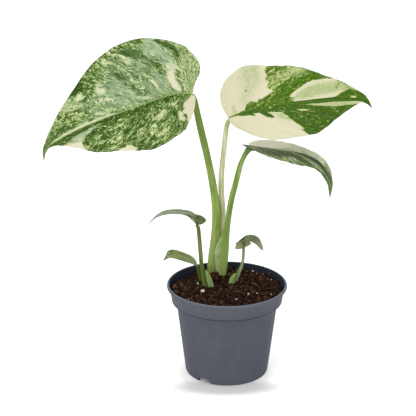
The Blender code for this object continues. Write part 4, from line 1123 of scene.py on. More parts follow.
def add_half(shape, blade, side, settings):
    """One half of a blade, from its midrib to its margin, with an upper and a lower face."""
    veins = shape.loops.layers.uv["veins"]
    flat = shape.loops.layers.uv["flat"]
    coat = shape.loops.layers.float_color["coat"]
    rim = Track([(x, y, 0.0) for x, y in blade.halves[side]])
    reach = max(y for x, y in blade.halves[side])
    size = min(1.0, reach / FULL_REACH)
    quilt = settings.quilting / MM * size
    half_wall = settings.thickness / MM / 2
    vein_count = max(3, round(rim.length / blade.vein_gap))
    tops, bottoms, spots, grid = [], [], [], []
    for row in range(blade.rows + 1):
        share = (row + 1) / (blade.rows + 1)
        if row == 0:
            line = [rim.at(share * step / blade.across) for step in range(blade.across + 1)]
        else:
            line = blade.vein(rim, share, blade.across)
        wide = (line[-1] - line[0]).length / max(reach, 1.0)
        top, bottom, spot, places = [], [], [], []
        for step, p in enumerate(line):
            r = step / blade.across
            place, up = blade.point(side, p.x, side * p.y)
            swell = quilt * (math.sin(math.pi * share * vein_count) ** 2 - 0.5)
            swell *= 4 * r * (1.0 - SWELL_FADE * r) * wide
            wave = noise.noise(Vector((p.x * 0.05, side * p.y * 0.05, blade.rows)))
            wave *= MARGIN_WAVE * size * r * r * wide
            place = place + up * (swell + wave)
            # The wall thins out over the last few shares of the way to the margin.
            wall = half_wall * min(1.0, 0.35 + 4.0 * (1.0 - r))
            top.append(shape.verts.new(place + up * wall))
            bottom.append(shape.verts.new(place - up * wall))
            spot.append((p.x, side * p.y))
            places.append((share * rim.length + (HALVES_APART if side < 0 else 0.0), r * reach))
        tops.append(top)
        bottoms.append(bottom)
        spots.append(spot)
        grid.append(places)
    spots = np.array(spots)
    levels = painted(spots, blade.marks)
    # Painted shade: the margin itself is a thin darker line.
    levels[:, -1] += (-0.22, 1.2, -0.2)

    def skin(cells, under):
        cells = cells if side > 0 else cells[::-1]
        face = shape.faces.new([vertices[row][step] for vertices, row, step in cells])
        for loop, (vertices, row, step) in zip(face.loops, cells):
            loop[veins].uv = grid[row][step]
            loop[flat].uv = spots[row][step]
            loop[coat] = (*levels[row][step], 1.0 - under)

    last = blade.across
    for row in range(blade.rows):
        for step in range(last):
            corners = [(row, step), (row + 1, step), (row + 1, step + 1), (row, step + 1)]
            skin([(tops, a, b) for a, b in corners[::-1]], 0.0)
            skin([(bottoms, a, b) for a, b in corners], 1.0)
        edge = [(bottoms, row, last), (bottoms, row + 1, last), (tops, row + 1, last), (tops, row, last)]
        skin(edge, 0.5)
    for step in range(last):
        skin([(tops, 0, step), (tops, 0, step + 1), (bottoms, 0, step + 1), (bottoms, 0, step)], 0.5)


def add_keel(shape, blade):
    """The midrib, which stands out under the blade and flares where the petiole meets it."""
    veins = shape.loops.layers.uv["veins"]
    flat = shape.loops.layers.uv["flat"]
    coat = shape.loops.layers.float_color["coat"]
    rings = []
    count = max(20, round(blade.length / 1.5))
    for k in range(count + 1):
        share = k / count
        x = blade.length * share * 0.97 - 1.4 * blade.flare
        centre, up, left = blade.frame(x)
        radius = blade.rib * (1.0 - share) ** 0.8 + blade.flare * math.exp(-(((x - 2.0) / 9.0) ** 2)) + 0.22
        # Its end at the petiole is rounded over the first four rings.
        radius *= min(1.0, 0.15 + 0.85 * math.sqrt(k / 4))
        rings.append((centre - up * radius * 0.96, left, up, radius, radius))
    start = len(shape.faces)
    tube(shape, veins, rings, 12)
    shape.faces.ensure_lookup_table()
    for face in shape.faces[start:]:
        for loop in face.loops:
            x = loop[veins].uv.y + blade.length
            base = math.exp(-((x / 14.0) ** 2)) if blade.flare else 0.0
            loop[flat].uv = (x, 2.0 * base)
            loop[coat] = (0.40 - 0.06 * base, 0.2 * base, 0.0, 0.4 + 0.5 * base)
            loop[veins].uv = (0.0, 0.0)


def leaf_shape(blade, settings):
    """A blade with two faces, a thin rounded margin, quilted veins and a keel under its midrib."""
    shape = bmesh.new()
    shape.loops.layers.uv.new("veins")
    shape.loops.layers.uv.new("flat")
    shape.loops.layers.float_color.new("coat")
    for side in (1, -1):
        add_half(shape, blade, side, settings)
    bmesh.ops.remove_doubles(shape, verts=shape.verts, dist=0.01)
    bmesh.ops.dissolve_degenerate(shape, edges=shape.edges, dist=0.004)
    bmesh.ops.recalc_face_normals(shape, faces=shape.faces)
    add_keel(shape, blade)
    return shape


# --- Materials -------------------------------------------------------------------------------------------


def moulded_polypropylene(settings):
    """Polypropylene, injection moulded in a satin tool: slate blue-grey, with faint streaks and dust."""
    material, tree, shader = new_material(
        "moulded_polypropylene", Roughness=0.55, IOR=1.49, Specular_IOR_Level=0.04
    )
    place = add_node(tree, "ShaderNodeTexCoord").outputs["Object"]
    # Flow streaks a few millimetres wide and several centimetres tall, then dust in patches of about 8 mm.
    upright = add_node(tree, "ShaderNodeMapping", {"Vector": place, "Scale": (130, 130, 12)})
    streaks = add_node(tree, "ShaderNodeTexNoise", {"Vector": upright, "Scale": 1.0, "Detail": 2.0})
    dust = add_node(tree, "ShaderNodeTexNoise", {"Vector": place, "Scale": 70.0, "Detail": 4.0})
    height = add_node(tree, "ShaderNodeSeparateXYZ", {0: place}).outputs["Z"]
    # Painted shade: a dark line in the corner under the collar's edge.
    collar_z = (POT_HEIGHT - COLLAR_DEPTH) * MM
    under_collar_shade = add_node(tree, "ShaderNodeMath", {0: height, 1: collar_z + 0.35 * MM}, operation="SUBTRACT")
    under_collar_shade = add_node(tree, "ShaderNodeMath", {0: under_collar_shade}, operation="ABSOLUTE")
    # Painted shade: the inner wall faces the axis, and above the compost it is darkened.
    centred = add_node(tree, "ShaderNodeMapping", {"Vector": place, "Location": (-AXIS.x, -AXIS.y, 0)})
    level = {0: centred, 1: (WALL_SCALE, WALL_SCALE, 0.0)}
    level = add_node(tree, "ShaderNodeVectorMath", level, operation="MULTIPLY")
    facing = {0: level, 1: add_node(tree, "ShaderNodeNewGeometry").outputs["Normal"]}
    outward = add_node(tree, "ShaderNodeVectorMath", facing, operation="DOT_PRODUCT").outputs["Value"]
    layers = (
        (streaks, 0.42, 0.66, 0.0, 0.02, "#c2c8d0"),
        (dust, 0.40, 0.62, 0.07, 0.0, "#30343c"),
        (height, collar_z, (POT_HEIGHT - 4.0) * MM, 0.0, 0.06, "#c2c8d0"),
        # Painted shade under the collar's edge.
        (under_collar_shade, 0.0011, 0.0005, 0.0, 0.55, "#14161b"),
        # Painted shade on the inner wall.
        (outward, 0.10, -0.50, 0.0, 0.92, "#222a38"),
        # Painted highlight: a lighter line along the top of the lip.
        (height, (POT_HEIGHT - 0.5) * MM, (POT_HEIGHT - 0.1) * MM, 0.0, 0.30, "#a9b0bc"),
    )
    tree.links.new(painted_over(tree, colour(settings.colour), layers), shader.inputs["Base Color"])
    # The tool's satin grain, drawn near 0.7 mm, coarser than it is, so that it shows.
    grain = add_node(tree, "ShaderNodeTexNoise", {"Vector": place, "Scale": 1400.0, "Detail": 2.0})
    bump = add_node(tree, "ShaderNodeBump", {"Height": grain, "Strength": 0.15, "Distance": 0.0002})
    tree.links.new(bump.outputs[0], shader.inputs["Normal"])
    return material


def earthy(name, dark, middle, bright, roughness, size):
    """Crumbled plant matter, from dark hollows to bright broken faces; size is a crumb's in millimetres."""
    material, tree, shader = new_material(name, Roughness=roughness, Specular_IOR_Level=0.12)
    place = add_node(tree, "ShaderNodeTexCoord").outputs["Object"]
    patches = {"Vector": place, "Scale": 0.5 / (size * MM), "Detail": 5.0, "Roughness": 0.62}
    ramp = add_node(tree, "ShaderNodeValToRGB", {0: add_node(tree, "ShaderNodeTexNoise", patches)})
    stops = ramp.color_ramp.elements
    stops[0].position, stops[0].color = 0.36, colour(dark)
    stops[1].position, stops[1].color = 0.70, colour(bright)
    stops.new(0.54).color = colour(middle)
    tree.links.new(ramp.outputs[0], shader.inputs["Base Color"])
    fine = add_node(tree, "ShaderNodeTexNoise", {"Vector": place, "Scale": 1800.0, "Detail": 3.0})
    bump = add_node(tree, "ShaderNodeBump", {"Height": fine, "Strength": 0.6, "Distance": 0.0004})
    tree.links.new(bump.outputs[0], shader.inputs["Normal"])
    return material


def expanded_perlite(settings):
    """Perlite, volcanic glass popped in a furnace: chalky white foam, a little stained by the peat."""
    return earthy("expanded_perlite", "#b9b2a6", settings.perlite_colour, "#ffffff", 0.85, 0.8)


def variegated_leaf(blade, settings):
    """Living leaf: green tissue with cream sectors and flecks along its veins, under a satin cuticle."""
    tones = getattr(settings, blade.look)
    material, tree, shader = new_material(
        "leaf_" + blade.look, Roughness=tones.roughness, IOR=1.45, Specular_IOR_Level=0.09
    )
    veins = add_node(tree, "ShaderNodeUVMap", uv_map="veins").outputs[0]
    flat = add_node(tree, "ShaderNodeUVMap", uv_map="flat")
    coat = add_node(tree, "ShaderNodeVertexColor", layer_name="coat").outputs
    # The coat's third level is the silvery bloom together with a painted sheen of reflected light.
    cream, deep, haze = add_node(tree, "ShaderNodeSeparateColor", {0: coat["Color"]}).outputs
    # The flecks follow the veins, but waver by about a millimetre in patches of a few millimetres.
    patches = add_node(tree, "ShaderNodeMapping", {"Vector": veins, "Scale": (0.16, 0.16, 1.0)})
    patches = {"Vector": patches, "Scale": 1.0, "Detail": 1.0}
    waver = add_node(tree, "ShaderNodeTexNoise", patches, noise_dimensions="2D").outputs["Color"]
    waver = add_node(tree, "ShaderNodeVectorMath", {0: waver, 1: (0.5, 0.5, 0.5)}, operation="SUBTRACT")
    waver = add_node(tree, "ShaderNodeVectorMath", {0: waver, 1: (8.0, 10.0, 0.0)}, operation="MULTIPLY")
    wavering = add_node(tree, "ShaderNodeVectorMath", {0: veins, 1: waver}, operation="ADD").outputs[0]
    # Width of a fleck in millimetres, its length over that, how far it pushes the cream level, its detail.
    streaks = (
        (4.5, tones.drawn, 0.18 * tones.speckle, 0.0),
        (1.8, tones.drawn, 0.95 * tones.speckle, 1.0),
        (0.9, tones.drawn, 1.5 * tones.speckle, 1.5),
        (0.8, 12.0, tones.hairs, 0.0),
    )
    for width, drawn, push, detail in streaks:
        scale = (0.5 / (width * tones.fleck), 0.5 / (width * drawn * tones.fleck), 1.0)
        cells = add_node(tree, "ShaderNodeMapping", {"Vector": wavering, "Scale": scale})
        cells = {"Vector": cells, "Scale": 1.0, "Detail": detail, "Distortion": 0.9}
        cells = add_node(tree, "ShaderNodeTexNoise", cells, noise_dimensions="2D")
        centred = add_node(tree, "ShaderNodeMath", {0: cells, 1: 0.5}, operation="SUBTRACT")
        cream = add_node(tree, "ShaderNodeMath", {0: centred, 1: push, 2: cream}, operation="MULTIPLY_ADD")
    clouds = add_node(tree, "ShaderNodeMapping", {"Vector": veins, "Scale": (0.22, 0.10, 1.0)})
    clouds = {"Vector": clouds, "Scale": 1.0, "Detail": 3.0, "Roughness": 0.65}
    clouds = add_node(tree, "ShaderNodeTexNoise", clouds, noise_dimensions="2D")
    deep = add_node(tree, "ShaderNodeMath", {0: clouds, 1: 2.2, 2: deep}, operation="MULTIPLY_ADD")
    layers = (
        (deep, 1.2, 1.9, 0.0, 0.9, tones.dark),
        (cream, 0.32, 0.20, 0.0, 0.7, tones.dark),
        (cream, 0.38, 0.47, 0.0, 0.9, tones.light),
        (cream, 0.52, 0.62, 0.0, 1.0, tones.cream),
        (cream, 0.80, 1.00, 0.0, 1.0, tones.solid),
    )
    paint = painted_over(tree, colour(tones.mid), layers)
    # The silvery bloom, together with a painted sheen of reflected light, lies in fine streaks along the
    # veins.
    bloom = {"Vector": wavering, "Scale": (0.42, 0.42 / tones.veil, 1.0)}
    bloom = {"Vector": add_node(tree, "ShaderNodeMapping", bloom), "Scale": 1.0, "Detail": 2.0}
    bloom = add_node(tree, "ShaderNodeTexNoise", bloom, noise_dimensions="2D")
    bloom = {"Value": bloom, "From Min": 0.36, "From Max": 0.60, "To Min": 0.30, "To Max": 1.0}
    bloom = {0: add_node(tree, "ShaderNodeMapRange", bloom), 1: haze}
    bloom = add_node(tree, "ShaderNodeMath", bloom, operation="MULTIPLY")
    mix = {0: bloom, 6: paint, 7: colour(tones.haze)}
    paint = add_node(tree, "ShaderNodeMix", mix, data_type="RGBA").outputs[2]
    # The midrib is a pale line a little over a millimetre wide, which tapers away towards the tip.
    spot = add_node(tree, "ShaderNodeSeparateXYZ", {0: flat}).outputs
    across = add_node(tree, "ShaderNodeMath", {0: spot["Y"]}, operation="ABSOLUTE")
    taper = {
        "Value": spot["X"], "From Min": 0.72 * blade.length, "From Max": 0.95 * blade.length, "To Max": 0.75,
    }
    taper = add_node(tree, "ShaderNodeMapRange", taper)
    across = add_node(tree, "ShaderNodeMath", {0: across, 1: taper}, operation="ADD")
    layers = (
        (across, 0.45, 0.95, 0.8, 0.0, tones.rib),
        # The lower face is paler and greyer.
        (coat["Alpha"], 0.0, 1.0, 0.45, 0.0, tones.under),
    )
    tree.links.new(painted_over(tree, paint, layers), shader.inputs["Base Color"])
    bump = add_node(tree, "ShaderNodeBump", {"Height": cream, "Strength": 0.08, "Distance": 0.0004})
    tree.links.new(bump.outputs[0], shader.inputs["Normal"])
    return material


def petiole_skin(name, core, edge, pale, joint, flank_tint=None, wing=0.0, crown=0.0):
    """Young leaf stalk: waxy skin, darker along its flanks and at its top joint, with long fibres.

    wing is the strength of the papery margin that runs up the left of a sheathing foot, and crown how much
    the upper third darkens.
    """
    material, tree, shader = new_material(name, Roughness=0.4, IOR=1.45, Specular_IOR_Level=0.25)
    skin = add_node(tree, "ShaderNodeUVMap", uv_map="skin").outputs[0]
    around, along = add_node(tree, "ShaderNodeSeparateXYZ", {0: skin}).outputs[:2]
    turn = add_node(tree, "ShaderNodeMath", {0: around, 1: 2 * math.pi}, operation="MULTIPLY")
    flank = add_node(tree, "ShaderNodeMath", {0: turn}, operation="COSINE")
    flank = add_node(tree, "ShaderNodeMath", {0: flank}, operation="ABSOLUTE")
    # Round the stalk the UV runs from 0 to 1, so 14 periods give fibres near a millimetre apart.
    fibres = (
        ((14.0, 0.045, 1.0), 0.40, 0.62, 0.65, edge),
        ((5.0, 0.02, 1.0), 0.50, 0.66, 0.55, pale),
        ((26.0, 0.30, 1.0), 0.66, 0.74, 0.45, pale),
    )
    layers = []
    for scale, low, high, share, tint in fibres:
        lines = add_node(tree, "ShaderNodeMapping", {"Vector": skin, "Scale": scale})
        lines = {"Vector": lines, "Scale": 1.0, "Detail": 2.0}
        lines = add_node(tree, "ShaderNodeTexNoise", lines, noise_dimensions="2D")
        layers.append((lines, low, high, 0.0, share, tint))
    # The papery margin lies at this turn. Above the foot it narrows away.
    margin = add_node(tree, "ShaderNodeMath", {0: around, 1: MARGIN_TURN}, operation="SUBTRACT")
    margin = add_node(tree, "ShaderNodeMath", {0: margin}, operation="ABSOLUTE")
    above = {"Value": along, "From Min": -125.0, "From Max": -102.0, "To Max": 0.10}
    above = add_node(tree, "ShaderNodeMapRange", above)
    margin = add_node(tree, "ShaderNodeMath", {0: margin, 1: above}, operation="ADD")
    # Its edge is ragged, in tongues a few millimetres long.
    ragged = add_node(tree, "ShaderNodeMapping", {"Vector": skin, "Scale": (9.0, 0.11, 1.0)})
    ragged = {"Vector": ragged, "Scale": 1.0, "Detail": 3.0}
    ragged = add_node(tree, "ShaderNodeTexNoise", ragged, noise_dimensions="2D")
    ragged = add_node(tree, "ShaderNodeMath", {0: ragged, 1: 0.5}, operation="SUBTRACT")
    margin = add_node(tree, "ShaderNodeMath", {0: ragged, 1: 0.28, 2: margin}, operation="MULTIPLY_ADD")
    layers += [
        # The flanks to the left and right take the flank tint: where it is darker, a painted shade of the
        # stalk curving away.
        (flank, 0.70, 0.98, 0.0, 0.65, flank_tint or edge),
        (along, -105.0, -45.0, 0.0, crown, edge),
        (along, -16.0, -5.0, 0.0, 0.8, joint),
        (along, -80.0, -130.0, 0.0, 0.85 * wing, "#b0c870"),
        (margin, 0.115, 0.03, 0.0, wing, "#cfdab0"),
    ]
    tree.links.new(painted_over(tree, colour(core), layers), shader.inputs["Base Color"])
    return material


# --- Floor and light -------------------------------------------------------------------------------------


def white_sweep():
    """Matt white sweep: it takes the shadow, and what the eye sees of it is lifted to plain white."""
    material, tree, shader = new_material("white_sweep", Roughness=1.0, Specular_IOR_Level=0.0)
    shader.inputs["Base Color"].default_value = colour("#f3f3f3")
    # Round the pot's foot the lift fades, most of all in front, so that its shadow shows.
    place = add_node(tree, "ShaderNodeTexCoord").outputs["Object"]
    lift = seen_by_eye(tree)
    for ahead, wide, deep, start, least in FLOOR_FADES:
        spot = {
            "Vector": place,
            "Location": ((FADE_SHIFT - AXIS.x) / wide, (ahead - AXIS.y) / deep, 0.0),
            "Scale": (1 / wide, 1 / deep, 1.0),
        }
        spot = add_node(tree, "ShaderNodeMapping", spot)
        far = add_node(tree, "ShaderNodeVectorMath", {0: spot}, operation="LENGTH").outputs["Value"]
        span = {"Value": far, "From Min": start, "From Max": 1.0, "To Min": least, "To Max": 1.0}
        fade = add_node(tree, "ShaderNodeMapRange", span, interpolation_type="SMOOTHSTEP")
        lift = add_node(tree, "ShaderNodeMath", {0: lift, 1: fade}, operation="MULTIPLY")
    lift = add_node(tree, "ShaderNodeMath", {0: lift, 1: FLOOR_LIFT}, operation="MULTIPLY")
    glow = add_node(tree, "ShaderNodeEmission", {"Color": (1, 1, 1, 1), "Strength": lift})
    both = add_node(tree, "ShaderNodeAddShader", {0: shader, 1: glow})
    tree.links.new(both.outputs[0], tree.nodes["Material Output"].inputs["Surface"])
    return material


def white_surround(strength):
    """A world that lights the plant evenly with this strength, and that the eye sees as plain white."""
    world = bpy.data.worlds.new("surround")
    world.use_nodes = True
    tree = world.node_tree
    span = {"Value": seen_by_eye(tree), "To Min": strength, "To Max": 1.0}
    shown = add_node(tree, "ShaderNodeMapRange", span)
    back = tree.nodes["Background"]
    back.inputs["Color"].default_value = (1.0, 1.0, 1.0, 1.0)
    tree.links.new(shown.outputs[0], back.inputs["Strength"])
    return world


def softbox(name, place, size, power):
    """A square lamp that faces the plant's middle; its place and size are in metres."""
    lamp = bpy.data.lights.new(name, "AREA")
    lamp.shape = "SQUARE"
    lamp.size = size
    lamp.energy = power
    made = add_object(name, lamp)
    made.location = place
    aim = Vector(PLANT_MIDDLE) - Vector(place)
    made.rotation_euler = aim.to_track_quat("-Z", "Y").to_euler()


# --- Settings a user can change --------------------------------------------------------------------------


def tone(name, description, code):
    """A colour property for a panel."""
    return FloatVectorProperty(
        name=name, description=description, subtype="COLOR", size=3, min=0.0, max=1.0, default=linear(code)
    )


def length(name, description, default, **limits):
    """A size property for a panel, in metres."""
    return FloatProperty(
        name=name, description=description, default=default, unit="LENGTH", subtype="DISTANCE", **limits
    )


class MONSTERA_PG_pot(bpy.types.PropertyGroup):
    """The nursery pot"""

    colour: tone("Plastic", "Colour of the moulded plastic", "#5c5f69")
    steps: IntProperty(name="Steps", description="Facets round the pot", default=160, min=48, max=360)


class MONSTERA_PG_compost(bpy.types.PropertyGroup):
    """The compost and what lies on it"""

    crumb: length("Largest crumb", "Width of the largest crumbs", 0.0070)
    fibre: length("Longest fibre", "Length of the longest fibres", 0.010)
    seed: IntProperty(name="Seed", description="Changes how the crumbs lie", default=4, min=0)
    peat_colour: tone("Peat", "Middle colour of the peat", "#301a0e")
    perlite_colour: tone("Perlite", "Colour of the perlite", "#e9e6df")
    bark_colour: tone("Bark", "Middle colour of the bark chip", "#42241a")


def leaf_tones(label, codes, numbers):
    """A property group with the colours, gloss and flecks of one leaf."""
    colours = (
        ("solid", "Cream", "Tissue without any green"),
        ("cream", "Pale flecks", "The palest of the flecks"),
        ("light", "Light green", "Rims of the flecks"),
        ("mid", "Green", "Green tissue"),
        ("dark", "Dark green", "The deepest green"),
        # The bloom's tone also stands for a painted sheen of reflected light.
        ("haze", "Bloom", "The silvery bloom"),
        ("rib", "Midrib", "The pale midrib"),
        ("under", "Lower face", "What the lower face fades to"),
    )
    sizes = (
        ("roughness", "Roughness", "Gloss of the cuticle", 0.05, 1.0),
        ("fleck", "Fleck size", "Size of the flecks", 0.3, 3.0),
        ("drawn", "Drawn out", "Length of a fleck over its width", 1.0, 10.0),
        ("hairs", "Hairlines", "Strength of the long hairlines", 0.0, 3.0),
        ("speckle", "Speckle", "Strength of the flecks", 0.0, 2.0),
        ("veil", "Veil", "Length of the bloom's streaks over their width", 1.0, 20.0),
    )
    fields = {name: tone(title, words, code) for (name, title, words), code in zip(colours, codes.split())}
    for (name, title, words, least, most), value in zip(sizes, numbers):
        fields[name] = FloatProperty(name=title, description=words, default=value, min=least, max=most)
    name = "MONSTERA_PG_" + label.split()[0].lower()
    return type(name, (bpy.types.PropertyGroup,), {"__doc__": label, "__annotations__": fields})


MONSTERA_PG_mottled = leaf_tones(
    "Mottled leaf",
    "#e8e2c2 #bccf8c #849f4f #56762a #30500f #a3b997 #9db572 #a8b48c",
    (0.36, 0.80, 2.6, 0.6, 1.25, 10.0),
)
MONSTERA_PG_cream = leaf_tones(
    "Cream leaf",
    "#e6e1c0 #c9d392 #86a03c #587f1c #3a5e0c #b4c28a #5d8024 #e3dcc0",
    (0.34, 0.75, 2.4, 0.25, 0.80, 3.0),
)
MONSTERA_PG_drooping = leaf_tones(
    "Drooping leaf",
    "#fffbee #d2d9b0 #86a04c #4a6c1e #1f3c02 #b8c4a0 #a9b884 #a3ab88",
    (0.40, 0.85, 2.2, 0.2, 0.85, 10.0),
)
MONSTERA_PG_upper = leaf_tones(
    "Upper leaf",
    "#dfdfcb #c6cdb0 #98a37c #667a3c #3e5222 #a6b090 #a3ad80 #566a36",
    (0.42, 0.5, 2.2, 0.4, 1.6, 8.0),
)
MONSTERA_PG_lower = leaf_tones(
    "Lower leaf",
    "#ccd0a8 #bcc496 #9caa6a #798b42 #4e6228 #98a27a #9aa868 #8c9860",
    (0.42, 0.5, 2.2, 0.4, 1.0, 8.0),
)
MONSTERA_PG_curled = leaf_tones(
    "Curled leaf",
    "#d6d5b0 #b8c09a #88976a #58703e #34441c #959c7c #8c9868 #e2dfac",
    (0.42, 0.5, 2.2, 0.4, 1.0, 8.0),
)


class MONSTERA_PG_leaves(bpy.types.PropertyGroup):
    """The leaf blades"""

    thickness: length("Thickness", "Thickness of a blade", 0.00045, min=0.0002, max=0.001, precision=5)
    quilting: length(
        "Quilting", "Rise of the blade between its veins", 0.0005, min=0.0, max=0.002, precision=5
    )
    mottled: PointerProperty(type=MONSTERA_PG_mottled)
    cream: PointerProperty(type=MONSTERA_PG_cream)
    drooping: PointerProperty(type=MONSTERA_PG_drooping)
    upper: PointerProperty(type=MONSTERA_PG_upper)
    lower: PointerProperty(type=MONSTERA_PG_lower)
    curled: PointerProperty(type=MONSTERA_PG_curled)


class MONSTERA_PG_stalks(bpy.types.PropertyGroup):
    """Petioles and sheaths"""

    green: tone("Green petiole", "The large petiole", "#a8c060")
    cream: tone("Cream petiole", "The pale petiole", "#ecedc0")
    young: tone("Young petiole", "The thin petioles on the left", "#5f732e")
    small: tone("Small petiole", "The thin petiole on the right", "#86a556")
    winged: tone("Sheathing petiole", "The petiole with a winged foot", "#84a23c")
    sheath: tone("Sheath", "Sheaths at the foot", "#94b060")


class MONSTERA_PG_stage(bpy.types.PropertyGroup):
    """Floor, lamps and camera"""

    key: FloatProperty(
        name="Key lamp", description="Power of the softbox in front", default=5.0, min=0.0, unit="POWER"
    )
    fill: FloatProperty(name="Surround", description="Strength of the white surround", default=0.80, min=0.0)
    focal: FloatProperty(
        name="Focal length", description="Of the camera, in millimetres", default=121.07, min=20.0
    )


# --- Operators -------------------------------------------------------------------------------------------


class MONSTERA_OT_pot(bpy.types.Operator):
    """Make the nursery pot: a turned profile with foot notches and drain holes"""

    bl_idname = "monstera.pot"
    bl_label = "Pot"

    def execute(self, context):
        settings = context.scene.monstera_pot
        shape = bmesh.new()
        rows = [shape.verts.new((radius, 0.0, z)) for radius, z in pot_profile()]
        for a, b in zip(rows, rows[1:]):
            shape.edges.new((a, b))
        bmesh.ops.spin(
            shape, geom=shape.verts[:] + shape.edges[:], cent=(0, 0, 0), axis=(0, 0, 1), angle=2 * math.pi,
            steps=settings.steps, use_merge=True,
        )
        bmesh.ops.remove_doubles(shape, verts=shape.verts, dist=0.001)
        bmesh.ops.dissolve_degenerate(shape, edges=shape.edges, dist=0.001)
        bmesh.ops.recalc_face_normals(shape, faces=shape.faces)
        pot = add_object("nursery_pot", mesh_of("nursery_pot", shape), moulded_polypropylene(settings))
        cutters = add_object("pot_cutters", mesh_of("pot_cutters", pot_cutters(), smooth=False))
        cut = pot.modifiers.new("cut", "BOOLEAN")
        cut.operation = "DIFFERENCE"
        cut.solver = "EXACT"
        cut.use_self = True
        cut.object = cutters
        pot.data = evaluated_mesh(pot)
        bpy.data.objects.remove(cutters)
        pot.data.set_sharp_from_angle(angle=math.radians(38))
        settle(pot, "pot_plastic", "pot")
        return {"FINISHED"}


class MONSTERA_OT_compost(bpy.types.Operator):
    """Make the compost: a crumbly bed strewn with crumbs, fibres and perlite, and a chip of bark"""

    bl_idname = "monstera.compost"
    bl_label = "Compost"

    def execute(self, context):
        settings = context.scene.monstera_compost
        peat = earthy("milled_peat", "#0d0503", settings.peat_colour, "#7e5d44", 0.9, 2.3)
        root_fibre = earthy("root_fibre", "#2c1b12", "#5e4630", "#ac966e", 0.85, 2.2)
        perlite = expanded_perlite(settings)
        bed = add_object("compost_bed", mesh_of("compost_bed", soil_body(70, 260)), peat)
        settle(bed, "compost", "compost")
        shape = soil_body(40, 120)
        # Only the open top is strewn: its rim, its side and its base go.
        open_radius = SOIL_RADIUS - 1.5
        rest = [v for v in shape.verts if v.co.xy.length > open_radius or v.co.z < STALK_BOTTOM]
        bmesh.ops.delete(shape, geom=rest, context="VERTS")
        ground = mesh_of("ground", shape)
        crumbs = strewn_shapes("crumb", crumb, 5)
        strands = strewn_shapes("strand", strand, 4)
        # How many to a square metre, least and most width in metres, how far raised by its width (less than
        # nothing sinks it), and tilt.
        layers = (
            ("compost_crumbs", crumbs, peat, "compost", 240000.0, 0.0016, settings.crumb, -0.20, 6.3),
            ("compost_fibres", strands, root_fibre, "compost", 45000.0, 0.003, settings.fibre, 0.08, 1.0),
            ("perlite_crumbs", crumbs, perlite, "perlite", 6500.0, 0.0006, 0.0013, 0.35, 6.3),
        )
        for name, shapes, finish, slot, density, least, most, raised, tilt in layers:
            inputs = {
                "Density": density, "Smallest": least, "Largest": most, "Raised": raised, "Tilt": tilt,
                "Seed": settings.seed,
            }
            tree = scatter_tree("strewn " + name, shapes, finish)
            piece = scattered(name, ground, tree, finish, **inputs)
            if not piece.data.polygons:
                raise RuntimeError(f"{name} strewed nothing")
            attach(piece, "root")
        for shape in crumbs + strands:
            bpy.data.objects.remove(shape)
        grains = add_object("perlite_grains", mesh_of("perlite_grains", grains_shape()), perlite)
        settle(grains, "perlite", *(f"perlite_grain_{index}" for index in range(1, 13)))
        bark = earthy("pine_bark", "#1f0e09", settings.bark_colour, "#7a5240", 0.8, 1.4)
        chip = add_object("chip_of_bark", mesh_of("chip_of_bark", chip_shape()), bark)
        settle(chip, "bark", "bark_chip")
        return {"FINISHED"}


class MONSTERA_OT_stalks(bpy.types.Operator):
    """Make the petioles and the two short sheaths"""

    bl_idname = "monstera.stalks"
    bl_label = "Petioles"

    def execute(self, context):
        settings = context.scene.monstera_stalks
        # Core, edge, pale fibres, top joint and, where it differs, flank of each skin.
        tints = {
            "petiole_green": (settings.green, "#708c36", "#bccf7a", "#6f8a34"),
            "petiole_cream": (settings.cream, "#a9b56a", "#f0edca", "#a3b268"),
            "petiole_young": (settings.young, "#435a22", "#94a65e", "#566e2e"),
            "petiole_small": (settings.small, "#486626", "#cfdcae", "#4c6824", "#38541c"),
            "petiole_winged": (settings.winged, "#5f8030", "#b8ca80", "#54742c", "#5a7c2c"),
            "sheath_skin": (settings.sheath, "#5f8236", "#ccd8b4", "#8fab5a", "#ccd8ae"),
        }
        extras = {"petiole_green": {"crown": 0.9}, "petiole_winged": {"wing": 0.75}}
        skins = {name: petiole_skin(name, *row, **extras.get(name, {})) for name, row in tints.items()}
        for name, path, radii, finish in STALKS:
            skin = skins["petiole_" + finish]
            piece = add_object("skin_" + name, mesh_of(name, petiole_shape(path, radii)), skin)
            settle(piece, "petiole_cream" if finish == "cream" else "petiole_green", name)
        # Each ridge: its turn from the right, how far it stands out, and the height at which it has faded.
        fold, tip_left, tip_right = (math.pi * 0.93, 0.55, 124.0), (0.1, 0.35, 105.0), (math.pi, 0.3, 97.0)
        lofts = (
            ("drooping_petiole", DROOPING_SECTIONS, fold, "petiole_winged", "petiole_green"),
            ("left_sheath", LEFT_SHEATH, tip_left, "sheath_skin", "sheath"),
            ("right_sheath", RIGHT_SHEATH, tip_right, "sheath_skin", "sheath"),
        )
        for name, sections, ridge, finish, slot in lofts:
            piece = add_object("skin_" + name, mesh_of(name, lofted_shape(sections, ridge)), skins[finish])
            settle(piece, slot, name)
        return {"FINISHED"}


class MONSTERA_OT_leaves(bpy.types.Operator):
    """Make the six leaf blades with their variegation"""

    bl_idname = "monstera.leaves"
    bl_label = "Leaves"

    def execute(self, context):
        settings = context.scene.monstera_leaves
        for row in LEAVES:
            blade = Blade(**row)
            mesh = mesh_of(blade.node, leaf_shape(blade, settings))
            piece = add_object("blade_" + blade.node, mesh, variegated_leaf(blade, settings))
            piece.data.set_sharp_from_angle(angle=math.radians(60))
            settle(piece, blade.slot, blade.node)
        return {"FINISHED"}


